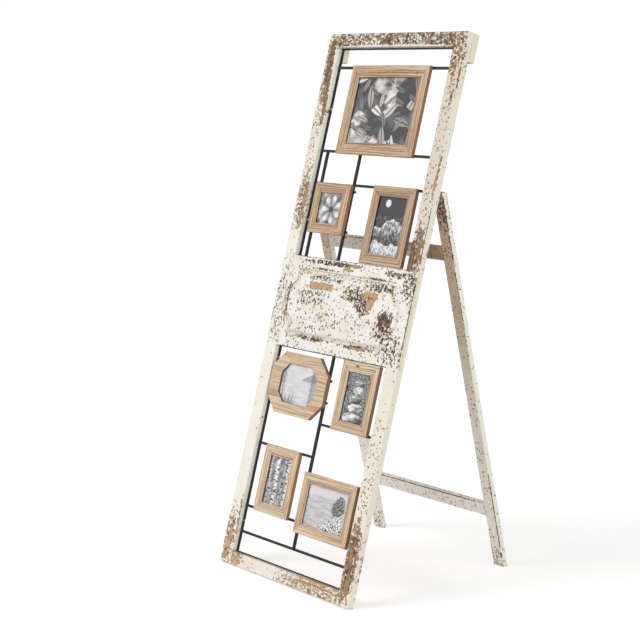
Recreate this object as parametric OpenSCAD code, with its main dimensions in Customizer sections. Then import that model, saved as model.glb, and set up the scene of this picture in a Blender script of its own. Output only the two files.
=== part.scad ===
// Floor-standing easel picture frame: a painted wooden frame with a routed centre panel,
// two black metal grids that carry seven small wooden photo frames, and a hinged pair of legs.
// The frame's own pieces are drawn in its own plane: x across, y into the frame from its front
// face, z up the slope. lean_back() then stands that plane on the floor.

/* [Main frame] */
// Thickness of stiles and rails
frame_t = 22; // [20:0.5:28]
// Width of each stile
stile_w = 48; // [44:1:50]
// Height of the top rail
top_rail_h = 41; // [34:1:60]
// Height of the bottom rail
bottom_rail_h = 38; // [32:1:60]
// Angle that the frame leans back from upright
lean_angle = 15.6; // [12:0.1:20]
// Length of the rails' tenons
tenon_l = 20; // [12:1:20]
// Thickness of the rails' tenons
tenon_t = 8; // [6:0.5:10]
// Flat left at the arrises of the painted timbers
arris = 1.2; // [0.4:0.1:2]

/* [Centre panel] */
// Height of the panel
panel_h = 265; // [240:1:300]
// Thickness of the panel's ends, which lap over the stiles
lap_t = 11; // [9:0.5:13]
// Plain border beside the routed cartouche, at its widest
cartouche_side = 36.5; // [20:0.5:60]
// Plain border above and below it
cartouche_border = 35.5; // [20:0.5:50]
// Bulge of each side of the cartouche
cartouche_bulge = 43; // [20:1:48]
// Height of each bulge's straight middle
bulge_flat_h = 46; // [20:1:60]
// Height of each bulge's foot
bulge_foot_h = 136; // [110:1:144]
// Width of the routed moulding
groove_w = 17; // [10:0.5:24]
// Depth of the routed moulding
groove_d = 5.5; // [2:0.1:6.5]

/* [Metal grids] */
// Thickness of the flat strip that lines each opening
strip_t = 2.5; // [2:0.5:4]
// Depth of that strip
strip_d = 8; // [7:0.5:11]
// Side of the square rods
rod = 7; // [5:0.5:7.5]
// Distance from a photo frame's edge in to the middle of the rod behind it
rod_inset = 4; // [3.5:0.1:5]
// The same distance for the lower rod behind the big frame
big_low_inset = 7; // [3.5:0.5:9]
// Distance from the octagon frame's right side in to the middle of the long upright
long_rod_inset = 9; // [5:0.5:14]
// Distance from the bottom rail up to the middle of the lowest rod
low_rod_rise = 61; // [45:1:80]
// Wood between the square frame's upper screws and its rebate
tie_wall = 1.9; // [1:0.1:6]
// Distance from the lower edge of the square and landscape frames up to the rods behind them
tie_low_inset = 12; // [9:0.5:15]
// Distance between the octagon frame's lugs
lug_pitch = 62; // [40:1:80]
// Reach of the octagon frame's lugs behind its sides
lug_l = 32; // [24:1:38]
// Length of the rod ends that show past the uprights
stub_l = 7; // [3:0.5:12]

/* [Photo frames] */
// Thickness of the small frames
moulding_t = 12; // [11:0.5:14]
// Width of the moulding on the five plain small frames
stick_w = 29; // [26:0.5:34]
// Width of the big frame's moulding
big_stick_w = 34.5; // [30:0.5:40]
// Width of the octagon frame's side pieces
octagon_side_w = 46; // [40:0.5:50]
// Width of the octagon frame's top and bottom pieces
octagon_rail_w = 33; // [29:0.5:38]
// Cut of the octagon frame's outer corners
octagon_cut = 47; // [40:0.5:52]
// Cut of the octagon frame's sight corners
octagon_sight_cut = 28; // [22:0.5:34]
// Width that the moulding's lip covers round each print
lip = 6.35; // [4:0.05:8]
// Thickness of that lip
lip_t = 5.5; // [5:0.1:6]
// Depth of the step inside the flat face
step_d = 2; // [0.8:0.1:2.4]
// Width of the bead at the sight edge
bead_w = 4.4; // [2.4:0.1:4.8]
// Width of the small bead between the flat face and the step
edge_bead_w = 3; // [2:0.1:3.6]
// Width of the narrow groove that sets that bead off from the flat face
quirk_w = 1.2; // [0.8:0.1:2]
// Thickness of the glass
glass_t = 2; // [1.5:0.1:2.5]
// Thickness of the print on its card
print_t = 0.5; // [0.3:0.1:0.8]

/* [Print sights] */
// Big landscape frame: width
big_sight_w = 251; // [220:0.5:270]
// Big landscape frame: height
big_sight_h = 189.5; // [170:0.5:210]
// Square frame: width
square_sight_w = 94; // [80:0.5:110]
// Square frame: height
square_sight_h = 89.5; // [80:0.5:105]
// Portrait frame: width
portrait_sight_w = 115; // [100:0.5:130]
// Portrait frame: height
portrait_sight_h = 162.5; // [150:0.5:190]
// Octagon frame: width
octagon_sight_w = 156; // [140:0.5:175]
// Octagon frame: height
octagon_sight_h = 112; // [104:0.5:130]
// Slim frame: width
slim_sight_w = 92; // [80:0.5:105]
// Slim frame: height
slim_sight_h = 137.5; // [120:0.5:160]
// Tall frame: width
tall_sight_w = 93; // [80:0.5:105]
// Tall frame: height
tall_sight_h = 136; // [120:0.5:150]
// Landscape frame: width
landscape_sight_w = 166; // [150:0.5:190]
// Landscape frame: height
landscape_sight_h = 113.5; // [100:0.5:130]

/* [Spaces round the photo frames] */
// Between the top rail and the big frame
big_drop = 53; // [45:0.5:80]
// Big frame's shift to the right of the middle
big_shift = 3.5; // [-10:0.5:15]
// Between the big frame and the portrait frame
big_rise = 83.5; // [60:0.5:110]
// Between the left stile and the square frame
square_side = 27.5; // [24:0.5:40]
// Between the panel and the square frame
square_rise = 72.5; // [60:0.5:85]
// Between the right stile and the portrait frame
portrait_side = 24.5; // [10:0.5:40]
// Between the panel and the portrait frame
portrait_rise = 3.5; // [3.5:0.5:20]
// Between the left stile and the octagon frame
octagon_side = 5; // [4:0.5:12]
// Between the panel and the octagon frame
octagon_drop = 13.5; // [5:0.5:30]
// Between the right stile and the slim frame
slim_side = 21; // [8:0.5:40]
// Between the panel and the slim frame
slim_drop = 3.5; // [3.5:0.5:20]
// Between the slim frame and the landscape frame
slim_rise = 132.5; // [100:0.5:160]
// Between the left stile and the tall frame
tall_side = 51.5; // [30:0.5:65]
// Between the bottom rail and the tall frame
tall_rise = 133; // [110:0.5:160]
// Between the right stile and the landscape frame
landscape_side = 11; // [5:0.5:25]
// Between the bottom rail and the landscape frame
landscape_rise = 109; // [90:0.5:130]

/* [Turn buttons] */
// Width of a turn button
button_w = 8; // [6:0.5:9]
// Thickness of a turn button
button_t = 1; // [0.8:0.1:1.4]
// Distance from the pivot to the tip's centre
button_reach = 12; // [10:0.5:14]
// Distance from the pivot to the edge of the backing board
button_in = 6; // [5:0.5:7]
// Radius of the screw that a button turns on
button_pin_r = 1.3; // [1:0.05:1.6]

/* [Easel legs] */
// Width of each leg
leg_w = 38; // [32:1:42]
// Thickness of legs and their rails
leg_t = 17; // [14:0.5:20]
// Angle that the legs lean forward from upright
leg_angle = 13.44; // [10:0.01:17]
// Distance from the frame's side to the leg's side
leg_inset = 5.5; // [3:0.5:8]
// Height of the hinge axis, up the slope
hinge_v = 1139.5; // [1090:0.5:1180]
// Distance from the hinge axis back to the legs' front face
leg_set = 6; // [4.5:0.1:9]
// Height of the rails between the legs
leg_rail_h = 38; // [30:1:45]
// Distance from the hinge axis down the leg to the upper rail's middle
upper_rail_drop = 181.5; // [120:0.5:260]
// Height of the lower rail's middle, up the leg from the floor
lower_rail_at = 173; // [140:1:220]

/* [Hinges] */
// Length of each hinge along its axis
hinge_l = 30; // [24:1:34]
// Width of each hinge leaf
leaf_w = 22; // [18:0.5:23]
// Thickness of the leaves
leaf_t = 1.2; // [1:0.1:1.6]
// Radius of the knuckles
knuckle_r = 3; // [2.8:0.1:4]
// Radius of the hinge pins
pin_r = 1.6; // [1.2:0.05:1.7]

/* [Spacer blocks] */
// Height of the blocks behind the top corners
block_h = 78; // [50:1:110]
// Depth of those blocks
block_d = 22; // [16:0.5:28]

/* [Screws] */
// Radius of the wood screws' shanks
screw_r = 1.75; // [1.4:0.05:2]
// Radius of the wood screws' heads
screw_head_r = 3.2; // [2.9:0.1:3.6]
// Height of a round head
screw_head_h = 1.8; // [1.2:0.1:2.2]
// Bite of the screws that hold the small frames
frame_bite = 7.5; // [5:0.5:8]

/* [Hidden] */
$fn = 24;
// Clearances: round a tenon, past its end, round a strip, at a weld, a glued mitre, glass
tenon_fit = 0.15;
tenon_end_fit = 1;
strip_fit = 0.2;
weld_gap = 0.1;
mitre_gap = 0.06;
glass_fit = 0.4;
// Clearances: round a screw in metal, round a turning pin, under a button, between knuckles
screw_fit = 0.15;
pin_fit = 0.05;
button_lift = 0.2;
knuckle_gap = 0.25;
hinge_fit = 0.3;
// Overrun of every cutter
over = 2;
// Places of screws and mortises as shares of the piece that carries them
screw_share = 0.62;
tenon_share = 0.64;
// Bite of longer screws: hinge, block, lap and strip
hinge_bite = 14;
block_bite = 16;
lap_bite = 7;
strip_bite = 14;
leaf_screw_in = 6.5;
leaf_screw_out = 7.5;
head_sink = 2.5;

// Flat width of each moulding as a share of its stick
big_flat_share = 0.54;
square_flat_share = 0.72;
portrait_flat_share = 0.7;
slim_flat_share = 0.6;
tall_flat_share = 0.7;
landscape_flat_share = 0.76;
// Rise of the groove beside the bead as a share of the step, and bevel of a plain stick's edge
slope_share = 0.4;
bevel_share = 0.05;

// Fields of a photo frame: sight width and height, side stick, top and bottom stick, cuts of
// the outer and sight corners, flat share
function sized(w, h, side, rail, cut, sight_cut, flat_share) =
    [w, h, side, rail, cut, sight_cut, flat_share];
function outer_w(f) = f[0] + 2*f[2];
function outer_h(f) = f[1] + 2*f[3];
BIG = sized(big_sight_w, big_sight_h, big_stick_w, big_stick_w, 0, 0, big_flat_share);
SQUARE = sized(square_sight_w, square_sight_h, stick_w, stick_w, 0, 0, square_flat_share);
PORTRAIT = sized(portrait_sight_w, portrait_sight_h, stick_w, stick_w, 0, 0, portrait_flat_share);
OCTAGON = sized(octagon_sight_w, octagon_sight_h, octagon_side_w, octagon_rail_w, octagon_cut,
    octagon_sight_cut, 1);
SLIM = sized(slim_sight_w, slim_sight_h, stick_w, stick_w, 0, 0, slim_flat_share);
TALL = sized(tall_sight_w, tall_sight_h, stick_w, stick_w, 0, 0, tall_flat_share);
LANDSCAPE = sized(landscape_sight_w, landscape_sight_h, stick_w, stick_w, 0, 0,
    landscape_flat_share);
ALL_FRAMES = [BIG, SQUARE, PORTRAIT, OCTAGON, SLIM, TALL, LANDSCAPE];

// The openings are as large as the photo frames and the spaces round them add up to
opening_w = octagon_side + outer_w(OCTAGON) - long_rod_inset - rod_inset + outer_w(LANDSCAPE)
    + landscape_side;
lower_h = landscape_rise + outer_h(LANDSCAPE) + slim_rise + outer_h(SLIM) + slim_drop;
upper_h = portrait_rise + outer_h(PORTRAIT) + big_rise + outer_h(BIG) + big_drop;
opening_x = opening_w/2;
frame_w = opening_w + 2*stile_w;
panel_v = bottom_rail_h + lower_h;
panel_top = panel_v + panel_h;
upper_top = panel_top + upper_h;
frame_h = upper_top + top_rail_h;

// Middle of each photo frame, as [across, up the slope]
function centre(f) =
    f == BIG ? [big_shift, upper_top - big_drop - outer_h(f)/2]
    : f == SQUARE ? [square_side + outer_w(f)/2 - opening_x, panel_top + square_rise + outer_h(f)/2]
    : f == PORTRAIT ? [opening_x - portrait_side - outer_w(f)/2,
        panel_top + portrait_rise + outer_h(f)/2]
    : f == OCTAGON ? [octagon_side + outer_w(f)/2 - opening_x, panel_v - octagon_drop - outer_h(f)/2]
    : f == SLIM ? [opening_x - slim_side - outer_w(f)/2, panel_v - slim_drop - outer_h(f)/2]
    : f == TALL ? [tall_side + outer_w(f)/2 - opening_x, bottom_rail_h + tall_rise + outer_h(f)/2]
    : [opening_x - landscape_side - outer_w(f)/2, bottom_rail_h + landscape_rise + outer_h(f)/2];
function left_of(f) = centre(f).x - outer_w(f)/2;
function right_of(f) = centre(f).x + outer_w(f)/2;
function top_of(f) = centre(f).y + outer_h(f)/2;
function bottom_of(f) = centre(f).y - outer_h(f)/2;

// Thickness of a backing board, and places of rods and strips from the front face
back_t = moulding_t - lip_t - glass_t - print_t;
rod_y = moulding_t;
strip_y = frame_t - strip_d;
rod_end_x = opening_x - strip_fit - strip_t - weld_gap;
lug_end_u = lug_l - rod_end_x;

// Rods: heights up the slope and places across, each behind the edge of the frame it carries
big_top_v = top_of(BIG) - rod_inset;
big_low_v = bottom_of(BIG) + big_low_inset;
portrait_rod_v = top_of(PORTRAIT) - rod_inset;
tie_top_v = top_of(SQUARE) - stick_w + lip + screw_r + tie_wall;
tie_low_v = bottom_of(SQUARE) + tie_low_inset;
slim_rod_v = bottom_of(SLIM) + rod_inset;
tall_top_v = top_of(TALL) - rod_inset;
tall_low_v = bottom_of(TALL) + rod_inset;
landscape_rod_v = bottom_of(LANDSCAPE) + tie_low_inset;
low_rod_v = bottom_rail_h + low_rod_rise;
left_upright_u = left_of(SQUARE) + rod_inset;
right_upright_u = right_of(SQUARE) - rod_inset;
low_upright_u = right_of(OCTAGON) - long_rod_inset;
lug_vs = [centre(OCTAGON).y + lug_pitch/2, centre(OCTAGON).y - lug_pitch/2];

// Hinge axis and legs
axis_y = frame_t + knuckle_r;
stand_z = frame_t*sin(lean_angle);
axis_back = hinge_v*sin(lean_angle) + axis_y*cos(lean_angle);
axis_up = stand_z + hinge_v*cos(lean_angle) - axis_y*sin(lean_angle);
depth = axis_back + (leg_set + leg_t)/cos(leg_angle) + axis_up*tan(leg_angle);
leg_x = frame_w/2 - leg_inset - leg_w/2;
leg_len = axis_up/cos(leg_angle);
leg_rail_l = 2*leg_x - leg_w;
// Heights of the leg rails' middles from the hinge axis
upper_rail_z = -upper_rail_drop;
lower_rail_z = lower_rail_at - leg_len;

// Placing

// Stands the frame's plane on the floor, with the origin under the middle of the footprint
module lean_back() {
    translate([0, -depth/2, stand_z]) rotate([-lean_angle, 0, 0]) children();
}

// Puts the hinge axis at the origin, with z straight up
module at_axis() {
    translate([0, axis_back - depth/2, axis_up]) children();
}

// The leg's own plane: y back from its front face, z up the leg, zero at the hinge axis
module leg_plane() {
    at_axis() rotate([leg_angle, 0, 0]) translate([0, leg_set, 0]) children();
}

// Moves to the middle of a photo frame
module at_centre(f) {
    translate([centre(f).x, 0, centre(f).y]) children();
}

// A screw, or its hole, with its head towards the back
module facing_back() {
    rotate([-90, 0, 0]) children();
}

// Shapes

// Rectangle with its corners taken off, centred across and starting at y = 0
module eased_section(w, t) {
    translate([-w/2, 0]) polygon([[arris, 0], [w - arris, 0], [w, arris], [w, t - arris],
        [w - arris, t], [arris, t], [0, t - arris], [0, arris]]);
}

// Upright timber from z = 0
module upright(w, t, l) {
    linear_extrude(l) eased_section(w, t);
}

// Level timber centred on x, from z = 0 up by h, with a tenon at each end
module tenoned_rail(l, h, t) {
    translate([-l/2, 0, h/2]) rotate([0, 90, 0]) linear_extrude(l) eased_section(h, t);
    translate([-l/2 - tenon_l, (t - tenon_t)/2, h*(1 - tenon_share)/2])
        cube([l + 2*tenon_l, tenon_t, h*tenon_share]);
}

// Hole for one tenon of a rail whose lower edge is at z = 0, from x = 0 along x
module mortise(h, t) {
    translate([-over, (t - tenon_t)/2 - tenon_fit, h*(1 - tenon_share)/2 - tenon_fit])
        cube([over + tenon_l + tenon_end_fit, tenon_t + 2*tenon_fit,
            h*tenon_share + 2*tenon_fit]);
}

// Wood screw with a round head above z = 0
module round_screw(bite, r) {
    translate([0, 0, -bite]) cylinder(h = bite + screw_head_h/2, r = r);
    cylinder(h = screw_head_h, r1 = screw_head_r, r2 = screw_head_r*screw_share);
}

// Rectangle or octagon, anticlockwise
function outline(w, h, cut) = cut == 0
    ? [[-w/2, -h/2], [w/2, -h/2], [w/2, h/2], [-w/2, h/2]]
    : [[cut - w/2, -h/2], [w/2 - cut, -h/2], [w/2, cut - h/2], [w/2, h/2 - cut],
       [w/2 - cut, h/2], [cut - w/2, h/2], [-w/2, h/2 - cut], [-w/2, cut - h/2]];

// Outline of the sight grown by e on every side
function grown(f, e) = outline(f[0] + 2*e, f[1] + 2*e, f[5] == 0 ? 0 : f[5] + e*(2 - sqrt(2)));

// Moulding section: x from the outer edge in, y back from the face
function plain_section(w) = [[0, moulding_t], [0, arris], [arris, 0], [w*(1 - bevel_share), 0],
    [w, w*bevel_share], [w, lip_t], [w - lip, lip_t], [w - lip, moulding_t]];
// Bead of width b whose inner foot is at x and whose feet are at depth y
function bead_points(x, y, b) = [for (a = [30:30:150]) [x - b/2 - cos(a)*b/2, y - sin(a)*b/2]];
function stepped_section(w, flat) = concat(
    [[0, moulding_t], [0, arris], [arris, 0], [flat - edge_bead_w - quirk_w, 0],
     [flat - edge_bead_w, edge_bead_w/2]],
    bead_points(flat, edge_bead_w/2, edge_bead_w),
    [[flat, edge_bead_w/2], [flat, step_d], [w - bead_w, step_d*(1 + slope_share)]],
    bead_points(w, step_d*(1 + slope_share), bead_w),
    [[w, step_d*(1 + slope_share)], [w, lip_t], [w - lip, lip_t], [w - lip, moulding_t]]);

// Plate in the frame's plane from y = y0 back by t
module plate(points, y0, t) {
    translate([0, y0 + t, 0]) rotate([90, 0, 0]) linear_extrude(t) polygon(points);
}

// One mitred stick between corners a and b of the outer line and c and d of the sight line
module stick(a, b, c, d, flat_share) {
    run = (b - a)/norm(b - a);
    w = (c - a)*[-run.y, run.x];
    out_share = 0.3;
    intersection() {
        translate([a.x, 0, a.y]) rotate([0, -atan2(run.y, run.x), 0]) rotate([0, 90, 0])
            linear_extrude(norm(b - a)) polygon([for (p = flat_share == 1
                ? plain_section(w) : stepped_section(w, w*flat_share)) [-p.x, p.y]]);
        plate([a + (a - c)*out_share + run*mitre_gap, b + (b - d)*out_share - run*mitre_gap,
            d + (d - b)*out_share - run*mitre_gap, c + (c - a)*out_share + run*mitre_gap],
            -over, moulding_t + 2*over);
    }
}

// Small photo frame in four or eight mitred sticks, drilled for its screws
module moulding(f) {
    outer = outline(outer_w(f), outer_h(f), f[4]);
    sight = grown(f, 0);
    n = len(outer);
    color("burlywood") lean_back() difference() {
        at_centre(f)
            for (i = [0:n - 1])
                stick(outer[i], outer[(i + 1)%n], sight[i], sight[(i + 1)%n], f[6]);
        for (p = frame_screw_places(f))
            translate([p.x, moulding_t, p.y]) facing_back()
                translate([0, 0, -frame_bite]) cylinder(h = frame_bite + over, r = screw_r);
        for (s = [-1, 1])
            translate([button_u(f, s), moulding_t, centre(f).y]) facing_back()
                translate([0, 0, -frame_bite]) cylinder(h = frame_bite + over, r = button_pin_r);
    }
}

module glass(f) {
    color("lightcyan") lean_back() at_centre(f)
        plate(grown(f, lip - glass_fit), lip_t, glass_t);
}

module print(f) {
    color("silver") lean_back() at_centre(f)
        plate(grown(f, lip - glass_fit), lip_t + glass_t, print_t);
}

module backing(f) {
    color("peru") lean_back() at_centre(f)
        plate(grown(f, lip - glass_fit), lip_t + glass_t + print_t, back_t);
}

// Pivot of the button on side s, outside the backing board's edge
function button_u(f, s) = centre(f).x + s*(f[0]/2 + lip + button_in);

// Turn button with its arm over the backing board
module button(f, s) {
    color("gainsboro") lean_back()
        translate([button_u(f, s), moulding_t + button_lift, centre(f).y]) facing_back()
            difference() {
                union() {
                    cylinder(h = button_t, r = button_w/2);
                    translate([-s*button_reach, 0, 0]) cylinder(h = button_t, r = button_w/2);
                    translate([s > 0 ? -button_reach : 0, -button_w/2, 0])
                        cube([button_reach, button_w, button_t]);
                }
                translate([0, 0, -over])
                    cylinder(h = button_t + 2*over, r = button_pin_r + pin_fit);
            }
}

// Screws of the small frames, as [across, up the slope]
function pair_at(f, v) = [for (s = [-1, 1]) [centre(f).x + s*f[0]*screw_share/2, v]];
octagon_lug_us = [(left_of(OCTAGON) + lug_end_u)/2, low_upright_u - lug_l/2];
function frame_screw_places(f) =
    f == BIG ? concat(pair_at(f, big_top_v), pair_at(f, big_low_v))
    : f == SQUARE ? concat(pair_at(f, tie_top_v), pair_at(f, tie_low_v))
    : f == PORTRAIT ? pair_at(f, portrait_rod_v)
    : f == OCTAGON ? [for (u = octagon_lug_us, v = lug_vs) [u, v]]
    : f == SLIM ? pair_at(f, slim_rod_v)
    : f == TALL ? concat(pair_at(f, tall_top_v), pair_at(f, tall_low_v))
    : concat(pair_at(f, landscape_rod_v),
        [for (s = [-1, 1]) [low_upright_u, centre(f).y + s*f[1]*screw_share/2]]);

// Main frame

// Stile on side s, with its mortises, the housing for the panel's lap and the screws' holes
module stile(s) {
    color("ivory") lean_back() difference() {
        translate([s*(opening_x + stile_w/2), 0, 0]) upright(stile_w, frame_t, frame_h);
        translate([s*opening_x, 0, 0]) mirror([s > 0 ? 0 : 1, 0, 0]) mortise(bottom_rail_h, frame_t);
        translate([s*opening_x, 0, upper_top]) mirror([s > 0 ? 0 : 1, 0, 0])
            mortise(top_rail_h, frame_t);
        translate([s > 0 ? opening_x - over : -frame_w/2 - over, -over, panel_v])
            cube([stile_w + 2*over, lap_t + over, panel_h]);
        for (p = side_screw_places(s))
            translate([p.x, p.y, p.z]) rotate([0, s*90, 0])
                translate([0, 0, -over])
                    cylinder(h = over + strip_t + strip_fit + strip_bite, r = screw_r);
        for (v = lap_screw_vs)
            translate([s*(opening_x + stile_w/2), frame_t, v]) facing_back() sunk_hole(frame_t);
        for (v = block_screw_vs)
            translate([s*block_screw_x, frame_t, v]) facing_back()
                translate([0, 0, -block_bite]) cylinder(h = block_bite + over, r = screw_r);
        for (p = leaf_screw_places(s))
            translate([p.x, frame_t, p.y]) facing_back()
                translate([0, 0, -hinge_bite]) cylinder(h = hinge_bite + over, r = screw_r);
    }
}

// Hole for a sunk screw through a piece t thick, from its outer face at z = 0
module sunk_hole(t) {
    translate([0, 0, -t - over]) cylinder(h = t + 2*over, r = screw_r);
    translate([0, 0, -head_sink]) cylinder(h = head_sink + over, r = screw_head_r);
}

module sunk_screw(bite) {
    translate([0, 0, -bite]) cylinder(h = bite - head_sink + screw_head_h/2, r = screw_r);
    translate([0, 0, -head_sink]) cylinder(h = screw_head_h, r = screw_head_r);
}

lap_screw_vs = [panel_v + panel_h*(1 - screw_share)/2, panel_v + panel_h*(1 + screw_share)/2];
// Screws of the blocks, between the end of the rail's mortise and the stile's outer side
block_screw_vs = [frame_h - block_h*(1 - screw_share)/2, frame_h - block_h*(1 + screw_share)/2];
block_screw_x = opening_x + (tenon_l + tenon_end_fit + stile_w)/2;

module top_rail() {
    color("ivory") lean_back() translate([0, 0, upper_top])
        tenoned_rail(opening_w, top_rail_h, frame_t);
}

module bottom_rail() {
    color("ivory") lean_back() tenoned_rail(opening_w, bottom_rail_h, frame_t);
}

module spacer_block(s) {
    color("ivory") lean_back() difference() {
        translate([s*(opening_x + stile_w/2), frame_t, frame_h - block_h])
            upright(stile_w, block_d, block_h);
        for (v = block_screw_vs)
            translate([s*block_screw_x, frame_t + block_d, v]) facing_back()
                sunk_hole(block_d);
    }
}

// Centre panel with its routed cartouche

cartouche_w = frame_w - 2*cartouche_side - 2*cartouche_bulge;
cartouche_h = panel_h - 2*cartouche_border;
function smooth(t) = t <= 0 ? 0 : t >= 1 ? 1 : t*t*(3 - 2*t);
side_steps = 34;
bulge_slope_h = (bulge_foot_h - bulge_flat_h)/2;
slope_shift_share = tan(22.5);

// Half width at height v of the cartouche's line drawn in by d
function half_width(v, d) = cartouche_w/2 - d + cartouche_bulge
    * smooth((bulge_foot_h/2 - d*slope_shift_share - abs(v))/bulge_slope_h);

// The whole line drawn in by d, anticlockwise
function line_in(d) = [for (s = [1, -1], i = [0:side_steps])
    let (v = s*(cartouche_h - 2*d)*(i/side_steps - 1/2)) [s*half_width(v, d), v]];

// Routed section as shares of its width and depth: a steep outer wall, a small cove, then a
// long rise inwards to the raised field
groove_shares = [[0, 0.15], [0.05, 0.85], [0.16, 1], [0.32, 0.93], [0.5, 0.68], [0.68, 0.36],
    [0.86, 0.12], [1, -0.02]];
groove_section = concat([[0, -over]], [for (p = groove_shares) [groove_w*p.x, groove_d*p.y]],
    [[groove_w, -over]]);

// The router's path as one closed ring of triangles
module routed_ring() {
    rings = [for (p = groove_section) line_in(p.x)];
    n = len(rings[0]);
    m = len(groove_section);
    function at(i, j) = (j%m)*n + i%n;
    points = [for (j = [0:m - 1], p = rings[j]) [p.x, groove_section[j].y, p.y]];
    faces = [for (j = [0:m - 1], i = [0:n - 1], half = [0, 1])
        half == 0 ? [at(i, j), at(i + 1, j), at(i, j + 1)]
                  : [at(i + 1, j), at(i + 1, j + 1), at(i, j + 1)]];
    polyhedron(points, faces);
}

module centre_panel() {
    half = frame_w/2;
    color("ivory") lean_back() difference() {
        translate([0, 0, panel_v]) linear_extrude(panel_h)
            polygon([[arris - half, 0], [half - arris, 0], [half, arris], [half, lap_t],
                [opening_x, lap_t], [opening_x, frame_t], [-opening_x, frame_t],
                [-opening_x, lap_t], [-half, lap_t], [-half, arris]]);
        translate([0, 0, panel_v + panel_h/2]) routed_ring();
        for (s = [-1, 1], v = lap_screw_vs)
            translate([s*(opening_x + stile_w/2), lap_t, v]) facing_back()
                translate([0, 0, -lap_bite]) cylinder(h = lap_bite + over, r = screw_r);
    }
}

// Metal grids

// Level rod between two places across, at height v
module level_rod(u0, u1, v) {
    translate([u0, rod_y, v - rod/2]) cube([u1 - u0, rod, rod]);
}

// Upright rod between two heights
module upright_rod(u, v0, v1) {
    translate([u - rod/2, rod_y, v0]) cube([rod, rod, v1 - v0]);
}

// Flat strip lining an opening between two heights
module lining(v0, v1) {
    x = opening_x - strip_fit;
    for (s = [-1, 1])
        translate([s > 0 ? x - strip_t : -x, strip_y, v0 + strip_fit])
            cube([strip_t, strip_d, v1 - v0 - 2*strip_fit]);
    for (v = [v0 + strip_fit, v1 - strip_fit - strip_t])
        translate([weld_gap + strip_t - x, strip_y, v])
            cube([2*(x - strip_t - weld_gap), strip_d, strip_t]);
}

// Holes through the rods and strips for the screws in places given
module rod_holes(places) {
    for (p = places)
        translate([p.x, rod_y, p.y]) facing_back()
            translate([0, 0, -over]) cylinder(h = rod + 2*over, r = screw_r + screw_fit);
}

// Screws through the lining into a stile, as [x, y, z] at the strip's inner face
function side_screw_places(s) = [for (v = side_screw_vs)
    [s*(opening_x - strip_fit - strip_t), frame_t - strip_d/2, v]];
// Heights of these screws, each midway between two rod ends or between a rod end and the panel
side_screw_vs = [(low_rod_v + landscape_rod_v)/2, (lug_vs[0] + panel_v)/2,
    (panel_top + portrait_rod_v)/2, (big_low_v + big_top_v)/2];

module side_holes() {
    for (s = [-1, 1], p = side_screw_places(s))
        translate([p.x, p.y, p.z]) rotate([0, s*90, 0])
            translate([0, 0, -over]) cylinder(h = strip_t + 2*over, r = screw_r + screw_fit);
}

module upper_grid() {
    low = panel_top + strip_fit + strip_t + weld_gap;
    under = big_low_v - rod/2 - weld_gap;
    past_left = left_upright_u + rod/2 + weld_gap;
    past_right = right_upright_u + rod/2 + weld_gap;
    color("dimgray") lean_back() difference() {
        union() {
            lining(panel_top, upper_top);
            level_rod(-rod_end_x, rod_end_x, big_top_v);
            level_rod(-rod_end_x, rod_end_x, big_low_v);
            upright_rod(left_upright_u, low, under);
            upright_rod(right_upright_u, low, under);
            level_rod(past_right, rod_end_x, portrait_rod_v);
            for (v = [tie_top_v, tie_low_v]) {
                level_rod(past_left, right_upright_u - rod/2 - weld_gap, v);
                level_rod(past_right, past_right + stub_l, v);
            }
        }
        for (f = [BIG, SQUARE, PORTRAIT]) rod_holes(frame_screw_places(f));
        side_holes();
    }
}

module lower_grid() {
    top = panel_v - strip_fit - strip_t - weld_gap;
    before = low_upright_u - rod/2 - weld_gap;
    past = low_upright_u + rod/2 + weld_gap;
    color("dimgray") lean_back() difference() {
        union() {
            lining(bottom_rail_h, panel_v);
            level_rod(-rod_end_x, rod_end_x, low_rod_v);
            upright_rod(low_upright_u, low_rod_v + rod/2 + weld_gap, top);
            level_rod(-rod_end_x, before, tall_top_v);
            level_rod(-rod_end_x, before, tall_low_v);
            level_rod(past, rod_end_x, slim_rod_v);
            level_rod(past, rod_end_x, landscape_rod_v);
            for (v = lug_vs) {
                level_rod(-rod_end_x, lug_end_u, v);
                level_rod(before - lug_l, before, v);
                level_rod(past, past + stub_l, v);
            }
        }
        for (f = [OCTAGON, SLIM, TALL, LANDSCAPE]) rod_holes(frame_screw_places(f));
        side_holes();
    }
}

// Easel legs

// Cuts a leg level at the floor and at the hinge leaf
module level_cuts() {
    translate([-frame_w, -depth, -depth]) cube([2*frame_w, 2*depth, depth]);
    at_axis() translate([-frame_w, -depth, -knuckle_r]) cube([2*frame_w, 2*depth, depth]);
}

module leg(s) {
    color("ivory") difference() {
        leg_plane() translate([s*leg_x, 0, -leg_len - leg_t]) upright(leg_w, leg_t, leg_len + 2*leg_t);
        level_cuts();
        leg_plane() for (z = [upper_rail_z, lower_rail_z])
            translate([s*(leg_x - leg_w/2), 0, z - leg_rail_h/2])
                mirror([s > 0 ? 0 : 1, 0, 0]) mortise(leg_rail_h, leg_t);
        at_axis() for (x = leaf_screw_xs)
            translate([s*leg_x + x, leaf_w - leaf_screw_out, -knuckle_r])
                translate([0, 0, -hinge_bite]) cylinder(h = hinge_bite + over, r = screw_r);
    }
}

module leg_rail(z) {
    color("ivory") leg_plane() translate([0, 0, z - leg_rail_h/2])
        tenoned_rail(leg_rail_l, leg_rail_h, leg_t);
}

// Hinges

leaf_screw_xs = [leaf_screw_in - hinge_l/2, hinge_l/2 - leaf_screw_in];
middle_l = hinge_l/3;

// Screws of the frame leaf on side s, as [across, up the slope]
function leaf_screw_places(s) = [for (x = leaf_screw_xs)
    [s*leg_x + x, hinge_v + leaf_w - leaf_screw_out]];

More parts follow.
